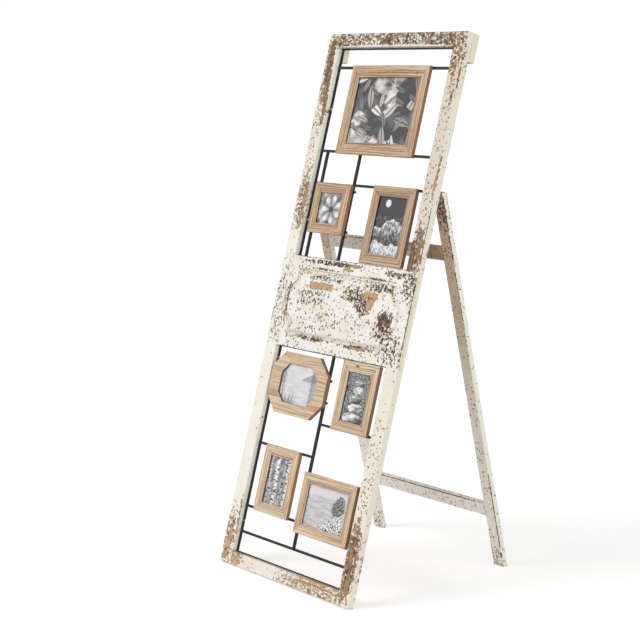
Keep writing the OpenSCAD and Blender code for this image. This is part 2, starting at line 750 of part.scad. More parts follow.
// Leaf against the plane z = -knuckle_r, reaching along +y, with knuckles over the lengths given
module leaf(gaps) {
    difference() {
        union() {
            translate([-hinge_l/2, 0, -knuckle_r]) cube([hinge_l, leaf_w, leaf_t]);
            translate([-hinge_l/2, 0, 0]) rotate([0, 90, 0]) cylinder(h = hinge_l, r = knuckle_r);
        }
        translate([-hinge_l/2 - over, 0, 0]) rotate([0, 90, 0])
            cylinder(h = hinge_l + 2*over, r = pin_r + pin_fit);
        for (g = gaps)
            translate([g[0], -knuckle_r - over, -knuckle_r - over])
                cube([g[1] - g[0], over + 2*knuckle_r + hinge_fit, 2*knuckle_r + 2*over]);
        for (x = leaf_screw_xs)
            translate([x, leaf_w - leaf_screw_out, -knuckle_r - over])
                cylinder(h = leaf_t + 2*over, r = screw_r + screw_fit);
    }
}

frame_gaps = [[-middle_l/2 - knuckle_gap, middle_l/2 + knuckle_gap]];
leg_gaps = [[-hinge_l/2 - over, -middle_l/2], [middle_l/2, hinge_l/2 + over]];

// The frame leaf stands up the frame's back, the leg leaf lies on the leg's level top
module frame_leaves() {
    color("gray") for (s = [-1, 1]) at_axis() translate([s*leg_x, 0, 0])
        rotate([-lean_angle, 0, 0]) mirror([0, 1, -1]) leaf(frame_gaps);
}

module leg_leaves() {
    color("gray") for (s = [-1, 1]) at_axis() translate([s*leg_x, 0, 0]) leaf(leg_gaps);
}

module hinge_pins() {
    color("gray") for (s = [-1, 1]) at_axis()
        translate([s*leg_x - hinge_l/2, 0, 0]) rotate([0, 90, 0]) cylinder(h = hinge_l, r = pin_r);
}

// Screws

module frame_screws() {
    color("silver") lean_back() {
        for (f = ALL_FRAMES, p = frame_screw_places(f))
            translate([p.x, rod_y + rod, p.y]) facing_back()
                round_screw(rod + frame_bite, screw_r);
        for (f = ALL_FRAMES, s = [-1, 1])
            translate([button_u(f, s), moulding_t + 2*button_lift + button_t, centre(f).y])
                facing_back() round_screw(2*button_lift + button_t + frame_bite, button_pin_r);
        for (s = [-1, 1], p = side_screw_places(s))
            translate([p.x, p.y, p.z]) rotate([0, -s*90, 0])
                round_screw(strip_t + strip_fit + strip_bite, screw_r);
        for (s = [-1, 1], v = lap_screw_vs)
            translate([s*(opening_x + stile_w/2), frame_t, v]) facing_back()
                sunk_screw(frame_t - lap_t + lap_bite);
        for (s = [-1, 1], v = block_screw_vs)
            translate([s*block_screw_x, frame_t + block_d, v]) facing_back()
                sunk_screw(block_d + block_bite);
        for (s = [-1, 1], p = leaf_screw_places(s))
            translate([p.x, frame_t + leaf_t, p.y]) facing_back()
                round_screw(leaf_t + hinge_bite, screw_r);
    }
}

module leg_screws() {
    color("silver") for (s = [-1, 1], x = leaf_screw_xs) at_axis()
        translate([s*leg_x + x, leaf_w - leaf_screw_out, leaf_t - knuckle_r])
            round_screw(leaf_t + hinge_bite, screw_r);
}

stile(-1);  // left_stile
stile(1);  // right_stile
top_rail();
bottom_rail();
centre_panel();
spacer_block(-1);  // left_spacer_block
spacer_block(1);  // right_spacer_block
upper_grid();
lower_grid();
moulding(BIG);  // big_frame_moulding
glass(BIG);  // big_frame_glass
print(BIG);  // big_frame_print
backing(BIG);  // big_frame_backing
button(BIG, -1);  // big_frame_left_button
button(BIG, 1);  // big_frame_right_button
moulding(SQUARE);  // square_frame_moulding
glass(SQUARE);  // square_frame_glass
print(SQUARE);  // square_frame_print
backing(SQUARE);  // square_frame_backing
button(SQUARE, -1);  // square_frame_left_button
button(SQUARE, 1);  // square_frame_right_button
moulding(PORTRAIT);  // portrait_frame_moulding
glass(PORTRAIT);  // portrait_frame_glass
print(PORTRAIT);  // portrait_frame_print
backing(PORTRAIT);  // portrait_frame_backing
button(PORTRAIT, -1);  // portrait_frame_left_button
button(PORTRAIT, 1);  // portrait_frame_right_button
moulding(OCTAGON);  // octagon_frame_moulding
glass(OCTAGON);  // octagon_frame_glass
print(OCTAGON);  // octagon_frame_print
backing(OCTAGON);  // octagon_frame_backing
button(OCTAGON, -1);  // octagon_frame_left_button
button(OCTAGON, 1);  // octagon_frame_right_button
moulding(SLIM);  // slim_frame_moulding
glass(SLIM);  // slim_frame_glass
print(SLIM);  // slim_frame_print
backing(SLIM);  // slim_frame_backing
button(SLIM, -1);  // slim_frame_left_button
button(SLIM, 1);  // slim_frame_right_button
moulding(TALL);  // tall_frame_moulding
glass(TALL);  // tall_frame_glass
print(TALL);  // tall_frame_print
backing(TALL);  // tall_frame_backing
button(TALL, -1);  // tall_frame_left_button
button(TALL, 1);  // tall_frame_right_button
moulding(LANDSCAPE);  // landscape_frame_moulding
glass(LANDSCAPE);  // landscape_frame_glass
print(LANDSCAPE);  // landscape_frame_print
backing(LANDSCAPE);  // landscape_frame_backing
button(LANDSCAPE, -1);  // landscape_frame_left_button
button(LANDSCAPE, 1);  // landscape_frame_right_button
leg(-1);  // left_leg
leg(1);  // right_leg
leg_rail(upper_rail_z);  // upper_leg_rail
leg_rail(lower_rail_z);  // lower_leg_rail
frame_leaves();  // hinge_frame_leaves
leg_leaves();  // hinge_leg_leaves
hinge_pins();
frame_screws();
leg_screws();
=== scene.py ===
"""Finishes, small metalwork and studio of a leaning floor easel that holds seven photo frames.

Places on the object are given in its own leaning planes: across, back from the front face,
and up the slope. The planes are read from the timbers themselves.
"""

import logging
import math
from dataclasses import dataclass, replace
from enum import Enum

import bmesh
import bpy
from mathutils import Matrix, Vector

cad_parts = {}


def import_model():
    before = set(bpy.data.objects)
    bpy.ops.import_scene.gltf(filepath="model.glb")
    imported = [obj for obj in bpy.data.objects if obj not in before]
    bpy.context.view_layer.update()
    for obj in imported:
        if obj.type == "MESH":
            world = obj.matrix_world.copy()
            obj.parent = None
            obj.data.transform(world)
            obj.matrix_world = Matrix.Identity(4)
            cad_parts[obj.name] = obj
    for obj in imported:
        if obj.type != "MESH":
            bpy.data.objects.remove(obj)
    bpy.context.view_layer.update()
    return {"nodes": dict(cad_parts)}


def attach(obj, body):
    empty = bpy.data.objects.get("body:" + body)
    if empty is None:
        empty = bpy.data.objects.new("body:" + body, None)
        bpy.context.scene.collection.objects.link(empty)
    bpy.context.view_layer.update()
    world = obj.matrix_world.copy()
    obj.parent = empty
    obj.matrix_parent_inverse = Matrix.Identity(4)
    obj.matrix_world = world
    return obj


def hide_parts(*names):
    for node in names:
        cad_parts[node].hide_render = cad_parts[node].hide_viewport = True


LOG = logging.getLogger("easel")
MM = 0.001
WHITE = (1.0, 1.0, 1.0, 1.0)

Colour = tuple[float, float, float, float]
Box = tuple[Vector, Vector]
Material = bpy.types.Material
Piece = bpy.types.Object
Socket = bpy.types.NodeSocket
Sockets = bpy.types.bpy_prop_collection
Value = Socket | float | tuple
Reach = tuple[float, float, float]


def display(red: int, green: int, blue: int) -> Colour:
    """Turns a display colour into the linear colour that a shader takes.

    Args:
        red: Red from 0 to 255.
        green: Green from 0 to 255.
        blue: Blue from 0 to 255.

    Returns:
        The linear colour, opaque.
    """
    linear = [((c / 255 + 0.055) / 1.055) ** 2.4 if c > 10 else c / 255 / 12.92
              for c in (red, green, blue)]
    return (linear[0], linear[1], linear[2], 1.0)


@dataclass(frozen=True)
class Plane:
    """A leaning plane of the object, read from one long timber.

    Attributes:
        origin: The point where its own coordinates start.
        lean: Its lean back from upright, in radians.
    """

    origin: Vector
    lean: float

    @staticmethod
    def of(timber: Piece) -> "Plane":
        """Reads a plane from the front face and the lowest front corner of a timber.

        Args:
            timber: The timber's object.

        Returns:
            The plane, with its origin in the middle of the object.
        """
        front = max((p for p in timber.data.polygons if p.normal.y < 0 and abs(p.normal.x) < 0.1),
                    key=lambda p: p.area)
        lean = math.atan2(front.normal.z, -front.normal.y)
        turned = [Matrix.Rotation(lean, 3, "X") @ v.co for v in timber.data.vertices]
        corner = Vector((0, min(p.y for p in turned), min(p.z for p in turned)))
        return Plane(Matrix.Rotation(-lean, 3, "X") @ corner, lean)

    def local(self, point: Vector) -> Vector:
        """Returns a point's place across, back and up the slope."""
        return Matrix.Rotation(self.lean, 3, "X") @ (point - self.origin)

    def back(self) -> Vector:
        """Returns the way straight back from the plane."""
        return Matrix.Rotation(-self.lean, 3, "X") @ Vector((0, 1, 0))

    def box(self, piece: Piece) -> Box:
        """Measures a piece in this plane.

        Args:
            piece: The piece's object.

        Returns:
            Its middle and its half sizes.
        """
        places = [self.local(v.co) for v in piece.data.vertices]
        low = Vector([min(p[i] for p in places) for i in range(3)])
        high = Vector([max(p[i] for p in places) for i in range(3)])
        return (low + high) / 2, (high - low) / 2


class Tree:
    """Adds shader nodes to one tree and joins them."""

    def __init__(self, nodes: bpy.types.NodeTree) -> None:
        """Starts on an empty or a new tree."""
        self.nodes = nodes

    def add(self, kind: str, **settings: object) -> bpy.types.Node:
        """Adds one node with its settings.

        Args:
            kind: The node's type.
            settings: Its settings by name.

        Returns:
            The node.
        """
        node = self.nodes.nodes.new(kind)
        node.location = (180 * len(self.nodes.nodes), 0)
        for name, value in settings.items():
            setattr(node, name, value)
        return node

    def feed(self, socket: Socket, value: Value) -> None:
        """Joins a socket to another one, or sets its value.

        Args:
            socket: The input.
            value: Another socket or a plain value.
        """
        if isinstance(value, Socket):
            self.nodes.links.new(value, socket)
        else:
            socket.default_value = value

    def fill(self, node: bpy.types.Node, values: dict[str, Value]) -> None:
        """Feeds several inputs of a node by name."""
        for name, value in values.items():
            self.feed(node.inputs[name], value)

    def math(self, operation: str, *values: Value, clamp: bool = False) -> Socket:
        """Adds a Math node.

        Args:
            operation: Its operation.
            values: Its inputs.
            clamp: True to keep the result from 0 to 1.

        Returns:
            Its result.
        """
        node = self.add("ShaderNodeMath", operation=operation, use_clamp=clamp)
        for socket, value in zip(node.inputs, values):
            self.feed(socket, value)
        return node.outputs[0]

    def plus(self, one: Value, other: Value) -> Socket:
        """Returns a sum."""
        return self.math("ADD", one, other)

    def minus(self, one: Value, other: Value) -> Socket:
        """Returns a difference."""
        return self.math("SUBTRACT", one, other)

    def times(self, one: Value, other: Value) -> Socket:
        """Returns a product."""
        return self.math("MULTIPLY", one, other)

    def times_plus(self, value: Value, factor: Value, shift: Value) -> Socket:
        """Returns a value times a factor, plus a shift."""
        return self.math("MULTIPLY_ADD", value, factor, shift)

    def unsigned(self, value: Value) -> Socket:
        """Returns a number without its sign."""
        return self.math("ABSOLUTE", value)

    def greater(self, one: Value, other: Value) -> Socket:
        """Returns the greater of two numbers."""
        return self.math("MAXIMUM", one, other)

    def lesser(self, one: Value, other: Value) -> Socket:
        """Returns the lesser of two numbers."""
        return self.math("MINIMUM", one, other)

    def vector(self, operation: str, *values: Value) -> Socket:
        """Adds a Vector Math node.

        Args:
            operation: Its operation.
            values: Its inputs.

        Returns:
            Its result, a number for a length or a dot product.
        """
        node = self.add("ShaderNodeVectorMath", operation=operation)
        for socket, value in zip(node.inputs, values):
            self.feed(socket, value)
        return node.outputs[1 if operation in ("LENGTH", "DOT_PRODUCT") else 0]

    def scale(self, vector: Value, amount: Value) -> Socket:
        """Multiplies a vector by a number.

        Args:
            vector: The vector.
            amount: The number.

        Returns:
            Their product.
        """
        node = self.add("ShaderNodeVectorMath", operation="SCALE")
        self.feed(node.inputs[0], vector)
        self.feed(node.inputs["Scale"], amount)
        return node.outputs[0]

    def split(self, vector: Value) -> tuple[Socket, ...]:
        """Takes a vector apart.

        Args:
            vector: The vector.

        Returns:
            Its parts across, back and up.
        """
        node = self.add("ShaderNodeSeparateXYZ")
        self.feed(node.inputs[0], vector)
        return tuple(node.outputs)

    def join(self, across: Value, back: Value, up: Value) -> Socket:
        """Puts a vector together.

        Args:
            across: Its part across.
            back: Its part back.
            up: Its part up.

        Returns:
            The vector.
        """
        node = self.add("ShaderNodeCombineXYZ")
        for socket, value in zip(node.inputs, (across, back, up)):
            self.feed(socket, value)
        return node.outputs[0]

    def noise(self, place: Value, scale: Value = 1.0, detail: float = 2.0,
              rough: float = 0.5) -> Socket:
        """Adds a noise texture.

        Args:
            place: Where to read it.
            scale: How fine it is.
            detail: How many finer layers it has.
            rough: Strength of the finer layers.

        Returns:
            Its value, from 0 to 1.
        """
        node = self.add("ShaderNodeTexNoise")
        self.fill(node, {"Vector": place, "Scale": scale, "Detail": detail, "Roughness": rough})
        return node.outputs["Fac"]

    def cells(self, place: Value, scale: float = 1.0, feature: str = "F1",
              uneven: float = 1.0) -> bpy.types.Node:
        """Adds a texture of cells.

        Args:
            place: Where to read it.
            scale: How many cells fit in one unit.
            feature: F1 for the nearest middle, DISTANCE_TO_EDGE for the nearest wall.
            uneven: How far the cells stray from rows, from 0 to 1.

        Returns:
            Its node.
        """
        node = self.add("ShaderNodeTexVoronoi", feature=feature)
        self.fill(node, {"Vector": place, "Scale": scale, "Randomness": uneven})
        return node

    def openness(self, reach: float) -> Socket:
        """Tells open faces from corners.

        Args:
            reach: How far to look for other faces, in metres.

        Returns:
            1 in the open and less in corners.
        """
        node = self.add("ShaderNodeAmbientOcclusion", samples=4)
        node.inputs["Distance"].default_value = reach
        return node.outputs["AO"]

    def eye_rays(self) -> Socket:
        """Tells the camera's rays from others.

        Returns:
            1 for a ray from the camera, straight or by way of gloss or glass.
        """
        rays = self.add("ShaderNodeLightPath").outputs
        indirect = self.greater(rays["Is Glossy Ray"], rays["Is Transmission Ray"])
        return self.greater(rays["Is Camera Ray"], indirect)

    def ramp(self, value: Value, low: Value, high: Value, to_low: Value = 0.0,
             to_high: Value = 1.0) -> Socket:
        """Maps a range smoothly onto another one.

        Args:
            value: The value to map.
            low: Where the range starts.
            high: Where it ends.
            to_low: What its start becomes.
            to_high: What its end becomes.

        Returns:
            The mapped value.
        """
        node = self.add("ShaderNodeMapRange", interpolation_type="SMOOTHSTEP")
        for socket, item in zip(node.inputs, (value, low, high, to_low, to_high)):
            self.feed(socket, item)
        return node.outputs[0]

    def blend(self, factor: Value, low: Value, high: Value, mode: str = "MIX") -> Socket:
        """Mixes two colours.

        Args:
            factor: Share of the second colour.
            low: The first colour.
            high: The second colour.
            mode: How the second colour is laid on.

        Returns:
            The mixed colour.
        """
        node = self.add("ShaderNodeMix", data_type="RGBA", blend_type=mode, clamp_factor=True)
        self.feed(node.inputs["Factor"], factor)
        self.feed(node.inputs[6], low)
        self.feed(node.inputs[7], high)
        return node.outputs[2]

    def use(self, group: bpy.types.NodeTree, **values: Value) -> bpy.types.Node:
        """Places a node group.

        Args:
            group: The group.
            values: Its inputs by name, with underscores for spaces.

        Returns:
            Its node.
        """
        node = self.add("ShaderNodeGroup", node_tree=group)
        for name, value in values.items():
            self.feed(node.inputs[name.replace("_", " ").capitalize()], value)
        return node


def start_group(name: str, inputs: dict[str, str], outputs: dict[str, str]
                ) -> tuple[Tree, Sockets, Sockets]:
    """Starts a shader node group.

    Args:
        name: The group's name.
        inputs: Kinds of its inputs by name: Float, Vector or Color.
        outputs: Kinds of its outputs by name.

    Returns:
        The tree, what the group is given and what it makes, by name.
    """
    group = bpy.data.node_groups.new(name, "ShaderNodeTree")
    for direction, sockets in (("INPUT", inputs), ("OUTPUT", outputs)):
        for label, kind in sockets.items():
            group.interface.new_socket(label, in_out=direction, socket_type="NodeSocket" + kind)
    tree = Tree(group)
    return tree, tree.add("NodeGroupInput").outputs, tree.add("NodeGroupOutput").inputs


class Effects:
    """The shader node groups that several finishes share, each built once."""

    def __init__(self) -> None:
        """Builds every group."""
        self.place = self.build_place()
        self.arris = self.build_arris()
        self.patch = self.build_patch()
        self.flakes = self.build_flakes()
        self.chips = self.build_chips()
        self.grain = self.build_grain()

    def placed(self, tree: Tree, plane: Plane) -> Socket:
        """Returns a point's place in a leaning plane."""
        return tree.use(self.place, origin=tuple(plane.origin), lean=plane.lean).outputs[0]

    def build_place(self) -> bpy.types.NodeTree:
        """Builds the group that gives a point's place in a leaning plane.

        Returns:
            The group.
        """
        tree, given, made = start_group("leaning_place", {"Origin": "Vector", "Lean": "Float"},
                                        {"Place": "Vector"})
        own = tree.add("ShaderNodeTexCoord").outputs["Object"]
        turn = tree.add("ShaderNodeVectorRotate", rotation_type="X_AXIS")
        tree.fill(turn, {"Vector": tree.vector("SUBTRACT", own, given["Origin"]),
                         "Angle": given["Lean"]})
        tree.feed(made["Place"], turn.outputs[0])
        return tree.nodes

    def build_arris(self) -> bpy.types.NodeTree:
        """Builds the group that gives the distance to the nearest arris of a timber.

        Returns:
            The group.
        """
        tree, given, made = start_group(
            "arris_distance", {"Place": "Vector", "Middle": "Vector", "Half": "Vector"},
            {"Distance": "Float"})
        away = tree.vector("SUBTRACT", given["Place"], given["Middle"])
        inside = tree.vector("ABSOLUTE", away)
        a, b, c = tree.split(tree.vector("SUBTRACT", given["Half"], inside))
        lower = tree.lesser(tree.greater(a, b), c)
        middle = tree.greater(tree.lesser(a, b), lower)
        tree.feed(made["Distance"], tree.greater(middle, 0.0))
        return tree.nodes

    def build_patch(self) -> bpy.types.NodeTree:
        """Builds the group that gives how far a point lies inside a frayed patch.

        Returns:
            The group.
        """
        tree, given, made = start_group(
            "frayed_patch", {"Place": "Vector", "Middle": "Vector", "Reach": "Vector",
                             "Fray": "Float", "Boxy": "Float"}, {"Amount": "Float"})
        away = tree.vector("SUBTRACT", given["Place"], given["Middle"])
        share = tree.vector("ABSOLUTE", tree.vector("DIVIDE", away, given["Reach"]))
        across, _, up = tree.split(share)
        oval = tree.vector("LENGTH", tree.join(across, 0.0, up))
        boxed = tree.greater(across, up)
        far = tree.times_plus(tree.minus(boxed, oval), given["Boxy"], oval)
        tree.feed(made["Amount"], tree.ramp(tree.plus(far, given["Fray"]), 1.25, 0.75))
        return tree.nodes

    def build_flakes(self) -> bpy.types.NodeTree:
        """Builds the group that turns a share of wear into a mask of flaked paint.

        Returns:
            The group.
        """
        tree, given, made = start_group(
            "flaked_paint", {"Place": "Vector", "Size": "Float", "Stretch": "Vector",
                             "Wear": "Float", "Softness": "Float"}, {"Mask": "Float"})
        place = tree.vector("DIVIDE", given["Place"], given["Stretch"])
        coarse = tree.math("DIVIDE", 1.0, given["Size"])
        broad = tree.noise(place, coarse, 3.0, 0.55)
        fine = tree.noise(place, tree.times(coarse, 2.7), 2.0, 0.5)
        mixed = tree.plus(tree.times(broad, 0.68), tree.times(fine, 0.32))
        limit = tree.times_plus(given["Wear"], -0.4, 0.7)
        low = tree.minus(limit, given["Softness"])
        high = tree.plus(limit, given["Softness"])
        tree.feed(made["Mask"], tree.ramp(mixed, low, high))
        return tree.nodes

    def build_chips(self) -> bpy.types.NodeTree:
        """Builds the group that scatters small separate chips.

        Returns:
            The group.
        """
        tree, given, made = start_group(
            "scattered_chips", {"Place": "Vector", "Size": "Float", "Share": "Float"},
            {"Mask": "Float"})
        place = tree.scale(given["Place"], tree.math("DIVIDE", 1.0, given["Size"]))
        ragged = tree.add("ShaderNodeTexNoise")
        tree.fill(ragged, {"Vector": place, "Scale": 1.8, "Detail": 2.0})
        shift = tree.vector("SUBTRACT", ragged.outputs["Color"], (0.5, 0.5, 0.5))
        place = tree.vector("ADD", place, tree.scale(shift, 1.1))
        cell = tree.cells(place)
        rank, size, _ = tree.split(cell.outputs["Color"])
        reach = tree.times_plus(size, 0.22, 0.26)
        chip = tree.ramp(tree.minus(cell.outputs["Distance"], reach), 0.04, -0.04)
        there = tree.math("GREATER_THAN", given["Share"], rank)
        tree.feed(made["Mask"], tree.times(chip, there))
        return tree.nodes

    def build_grain(self) -> bpy.types.NodeTree:
        """Builds the group that gives the tone and fibre of wood whose grain runs along x.

        Returns:
            The group.
        """
        tree, given, made = start_group(
            "wood_grain", {"Along": "Vector", "Seed": "Float"},
            {"Tone": "Float", "Fibre": "Float", "Knot": "Float"})
        shift = tree.join(given["Seed"], given["Seed"], given["Seed"])
        along = tree.vector("ADD", given["Along"], shift)
        sway = tree.noise(tree.vector("MULTIPLY", along, (5.0, 12.0, 12.0)), 1.0, 2.0)
        bend = tree.times(tree.minus(sway, 0.5), 0.014)
        bent = tree.vector("ADD", along, tree.join(0.0, bend, 0.0))
        bands = tree.noise(tree.vector("MULTIPLY", bent, (3.5, 210.0, 120.0)), 1.0, 3.0, 0.62)
        fibre = tree.noise(tree.vector("MULTIPLY", bent, (22.0, 900.0, 500.0)), 1.0, 2.0, 0.6)
        cell = tree.cells(tree.vector("MULTIPLY", along, (11.0, 30.0, 2.0)))
        tree.feed(made["Tone"], tree.plus(tree.times(bands, 0.7), tree.times(fibre, 0.3)))
        tree.feed(made["Fibre"], fibre)
        tree.feed(made["Knot"], tree.ramp(cell.outputs["Distance"], 0.11, 0.05))
        return tree.nodes


def start_material(name: str) -> tuple[Tree, bpy.types.Node, Material]:
    """Starts a material with one Principled shader.

    Args:
        name: The material's name.

    Returns:
        Its tree, its shader and the material.
    """
    material = bpy.data.materials.new(name)
    material.use_nodes = True
    material.node_tree.nodes.clear()
    tree = Tree(material.node_tree)
    shader = tree.add("ShaderNodeBsdfPrincipled")
    out = tree.add("ShaderNodeOutputMaterial")
    tree.feed(out.inputs["Surface"], shader.outputs[0])
    return tree, shader, material


def dress(piece: Piece, material: Material) -> None:
    """Gives a piece one material in every slot.

    Args:
        piece: The piece's object.
        material: The material.
    """
    if not piece.data.materials:
        piece.data.materials.append(material)
    for place in piece.material_slots:
        place.material = material


def put(name: str, data: bpy.types.ID) -> Piece:
    """Puts a new object into the scene.

    Args:
        name: The object's name.
        data: Its mesh, lamp or camera.

    Returns:
        The object.
    """
    made = bpy.data.objects.new(name, data)
    bpy.context.collection.objects.link(made)
    return made


def put_form(name: str, form: bmesh.types.BMesh) -> Piece:
    """Puts a finished form into the scene as a new object.

    Args:
        name: The object's name.
        form: The form, which is freed.

    Returns:
        The object.
    """
    mesh = bpy.data.meshes.new(name)
    form.to_mesh(mesh)
    form.free()
    return put(name, mesh)


def roughen(tree: Tree, shader: bpy.types.Node, height: Value, depth: float) -> None:
    """Feeds a height, from 0 to 1, to a shader's normal.

    Args:
        tree: The material's tree.
        shader: Its Principled shader.
        height: The height.
        depth: What a height of 1 is, in metres.
    """
    bump = tree.add("ShaderNodeBump")
    tree.fill(bump, {"Strength": 1.0, "Distance": depth, "Height": height})
    tree.feed(shader.inputs["Normal"], bump.outputs[0])


@dataclass(frozen=True)
class Spot:
    """A place on a timber, in millimetres across and up the slope.

    Attributes:
        across: Its middle across.
        up: Its middle up the slope.
        wide: Its reach to each side.
        high: Its reach up and down.
    """

    across: float
    up: float
    wide: float
    high: float

    def patch(self, at: "PaintedPoint", fray: Value, boxy: float = 0.0) -> Socket:
        """Works out how far a point lies inside the place.

        Args:
            at: The point.
            fray: How ragged the outline is there.
            boxy: 1 for a rectangle, 0 for an oval.

        Returns:
            0 outside and 1 inside, with a soft step.
        """
        return at.tree.use(at.effects.patch, place=at.place, fray=fray, boxy=boxy,
                           middle=(self.across * MM, 0.0, self.up * MM),
                           reach=(self.wide * MM, 1.0, self.high * MM)).outputs[0]


@dataclass(frozen=True)
class Worn(Spot):
    """A worn place.

    Attributes:
        wear: Share of the paint that is gone there.
        specks: Share of fine specks there.
        arris: True where only the arrises are worn.
    """

    wear: float
    specks: float = 0.0
    arris: bool = False


@dataclass(frozen=True)
class Bare(Spot):
    """A place rubbed down to bare wood.

    Attributes:
        boxy: 1 for a rectangle, 0 for an oval.
        deep: How dark the wood is, from tan at 0 to dark brown at 1.
    """

    boxy: float = 0.0
    deep: float = 0.0


@dataclass(frozen=True)
class PaintedPoint:
    """What the shader of a painted timber knows of a point.

    Attributes:
        tree: The material's tree.
        effects: The shared effects.
        place: The point's place in the timber's plane.
        fray: A ragged number that breaks up outlines.
        clouds: A number that changes slowly along the timber.
        sideways: 1 on faces that look to a side.
        square_on: How squarely the face looks forward, from -1 to 1.
        rear: 1 on faces that look back.
        near: 1 at an arris and 0 away from it.
    """

    tree: Tree
    effects: Effects
    place: Socket
    fray: Socket
    clouds: Socket
    sideways: Socket
    square_on: Socket
    rear: Socket
    near: Socket

    @staticmethod
    def of(tree: Tree, effects: Effects, plane: Plane, box: Box,
           edge_reach: float) -> "PaintedPoint":
        """Adds the nodes that read a point.

        Args:
            tree: The material's tree.
            effects: The shared effects.
            plane: The plane that the timber lies in.
            box: The timber's middle and half sizes in that plane.
            edge_reach: How far from an arris counts as near, in metres.

        Returns:
            The point.
        """
        place = effects.placed(tree, plane)
        normal = tree.add("ShaderNodeNewGeometry").outputs["Normal"]
        forward = (0.0, -math.cos(plane.lean), math.sin(plane.lean))
        square_on = tree.vector("DOT_PRODUCT", normal, forward)
        arris = tree.use(effects.arris, place=place, middle=tuple(box[0]), half=tuple(box[1]))
        return PaintedPoint(
            tree=tree, effects=effects, place=place, square_on=square_on,
            fray=tree.times_plus(tree.noise(place, 70.0, 4.0, 0.66), 2.6, -1.3),
            clouds=tree.noise(place, 15.0, 2.0, 0.5),
            sideways=tree.ramp(tree.unsigned(tree.split(normal)[0]), 0.5, 0.8),
            rear=tree.ramp(square_on, -0.6, -0.9),
            near=tree.ramp(arris.outputs[0], edge_reach, 0.0))


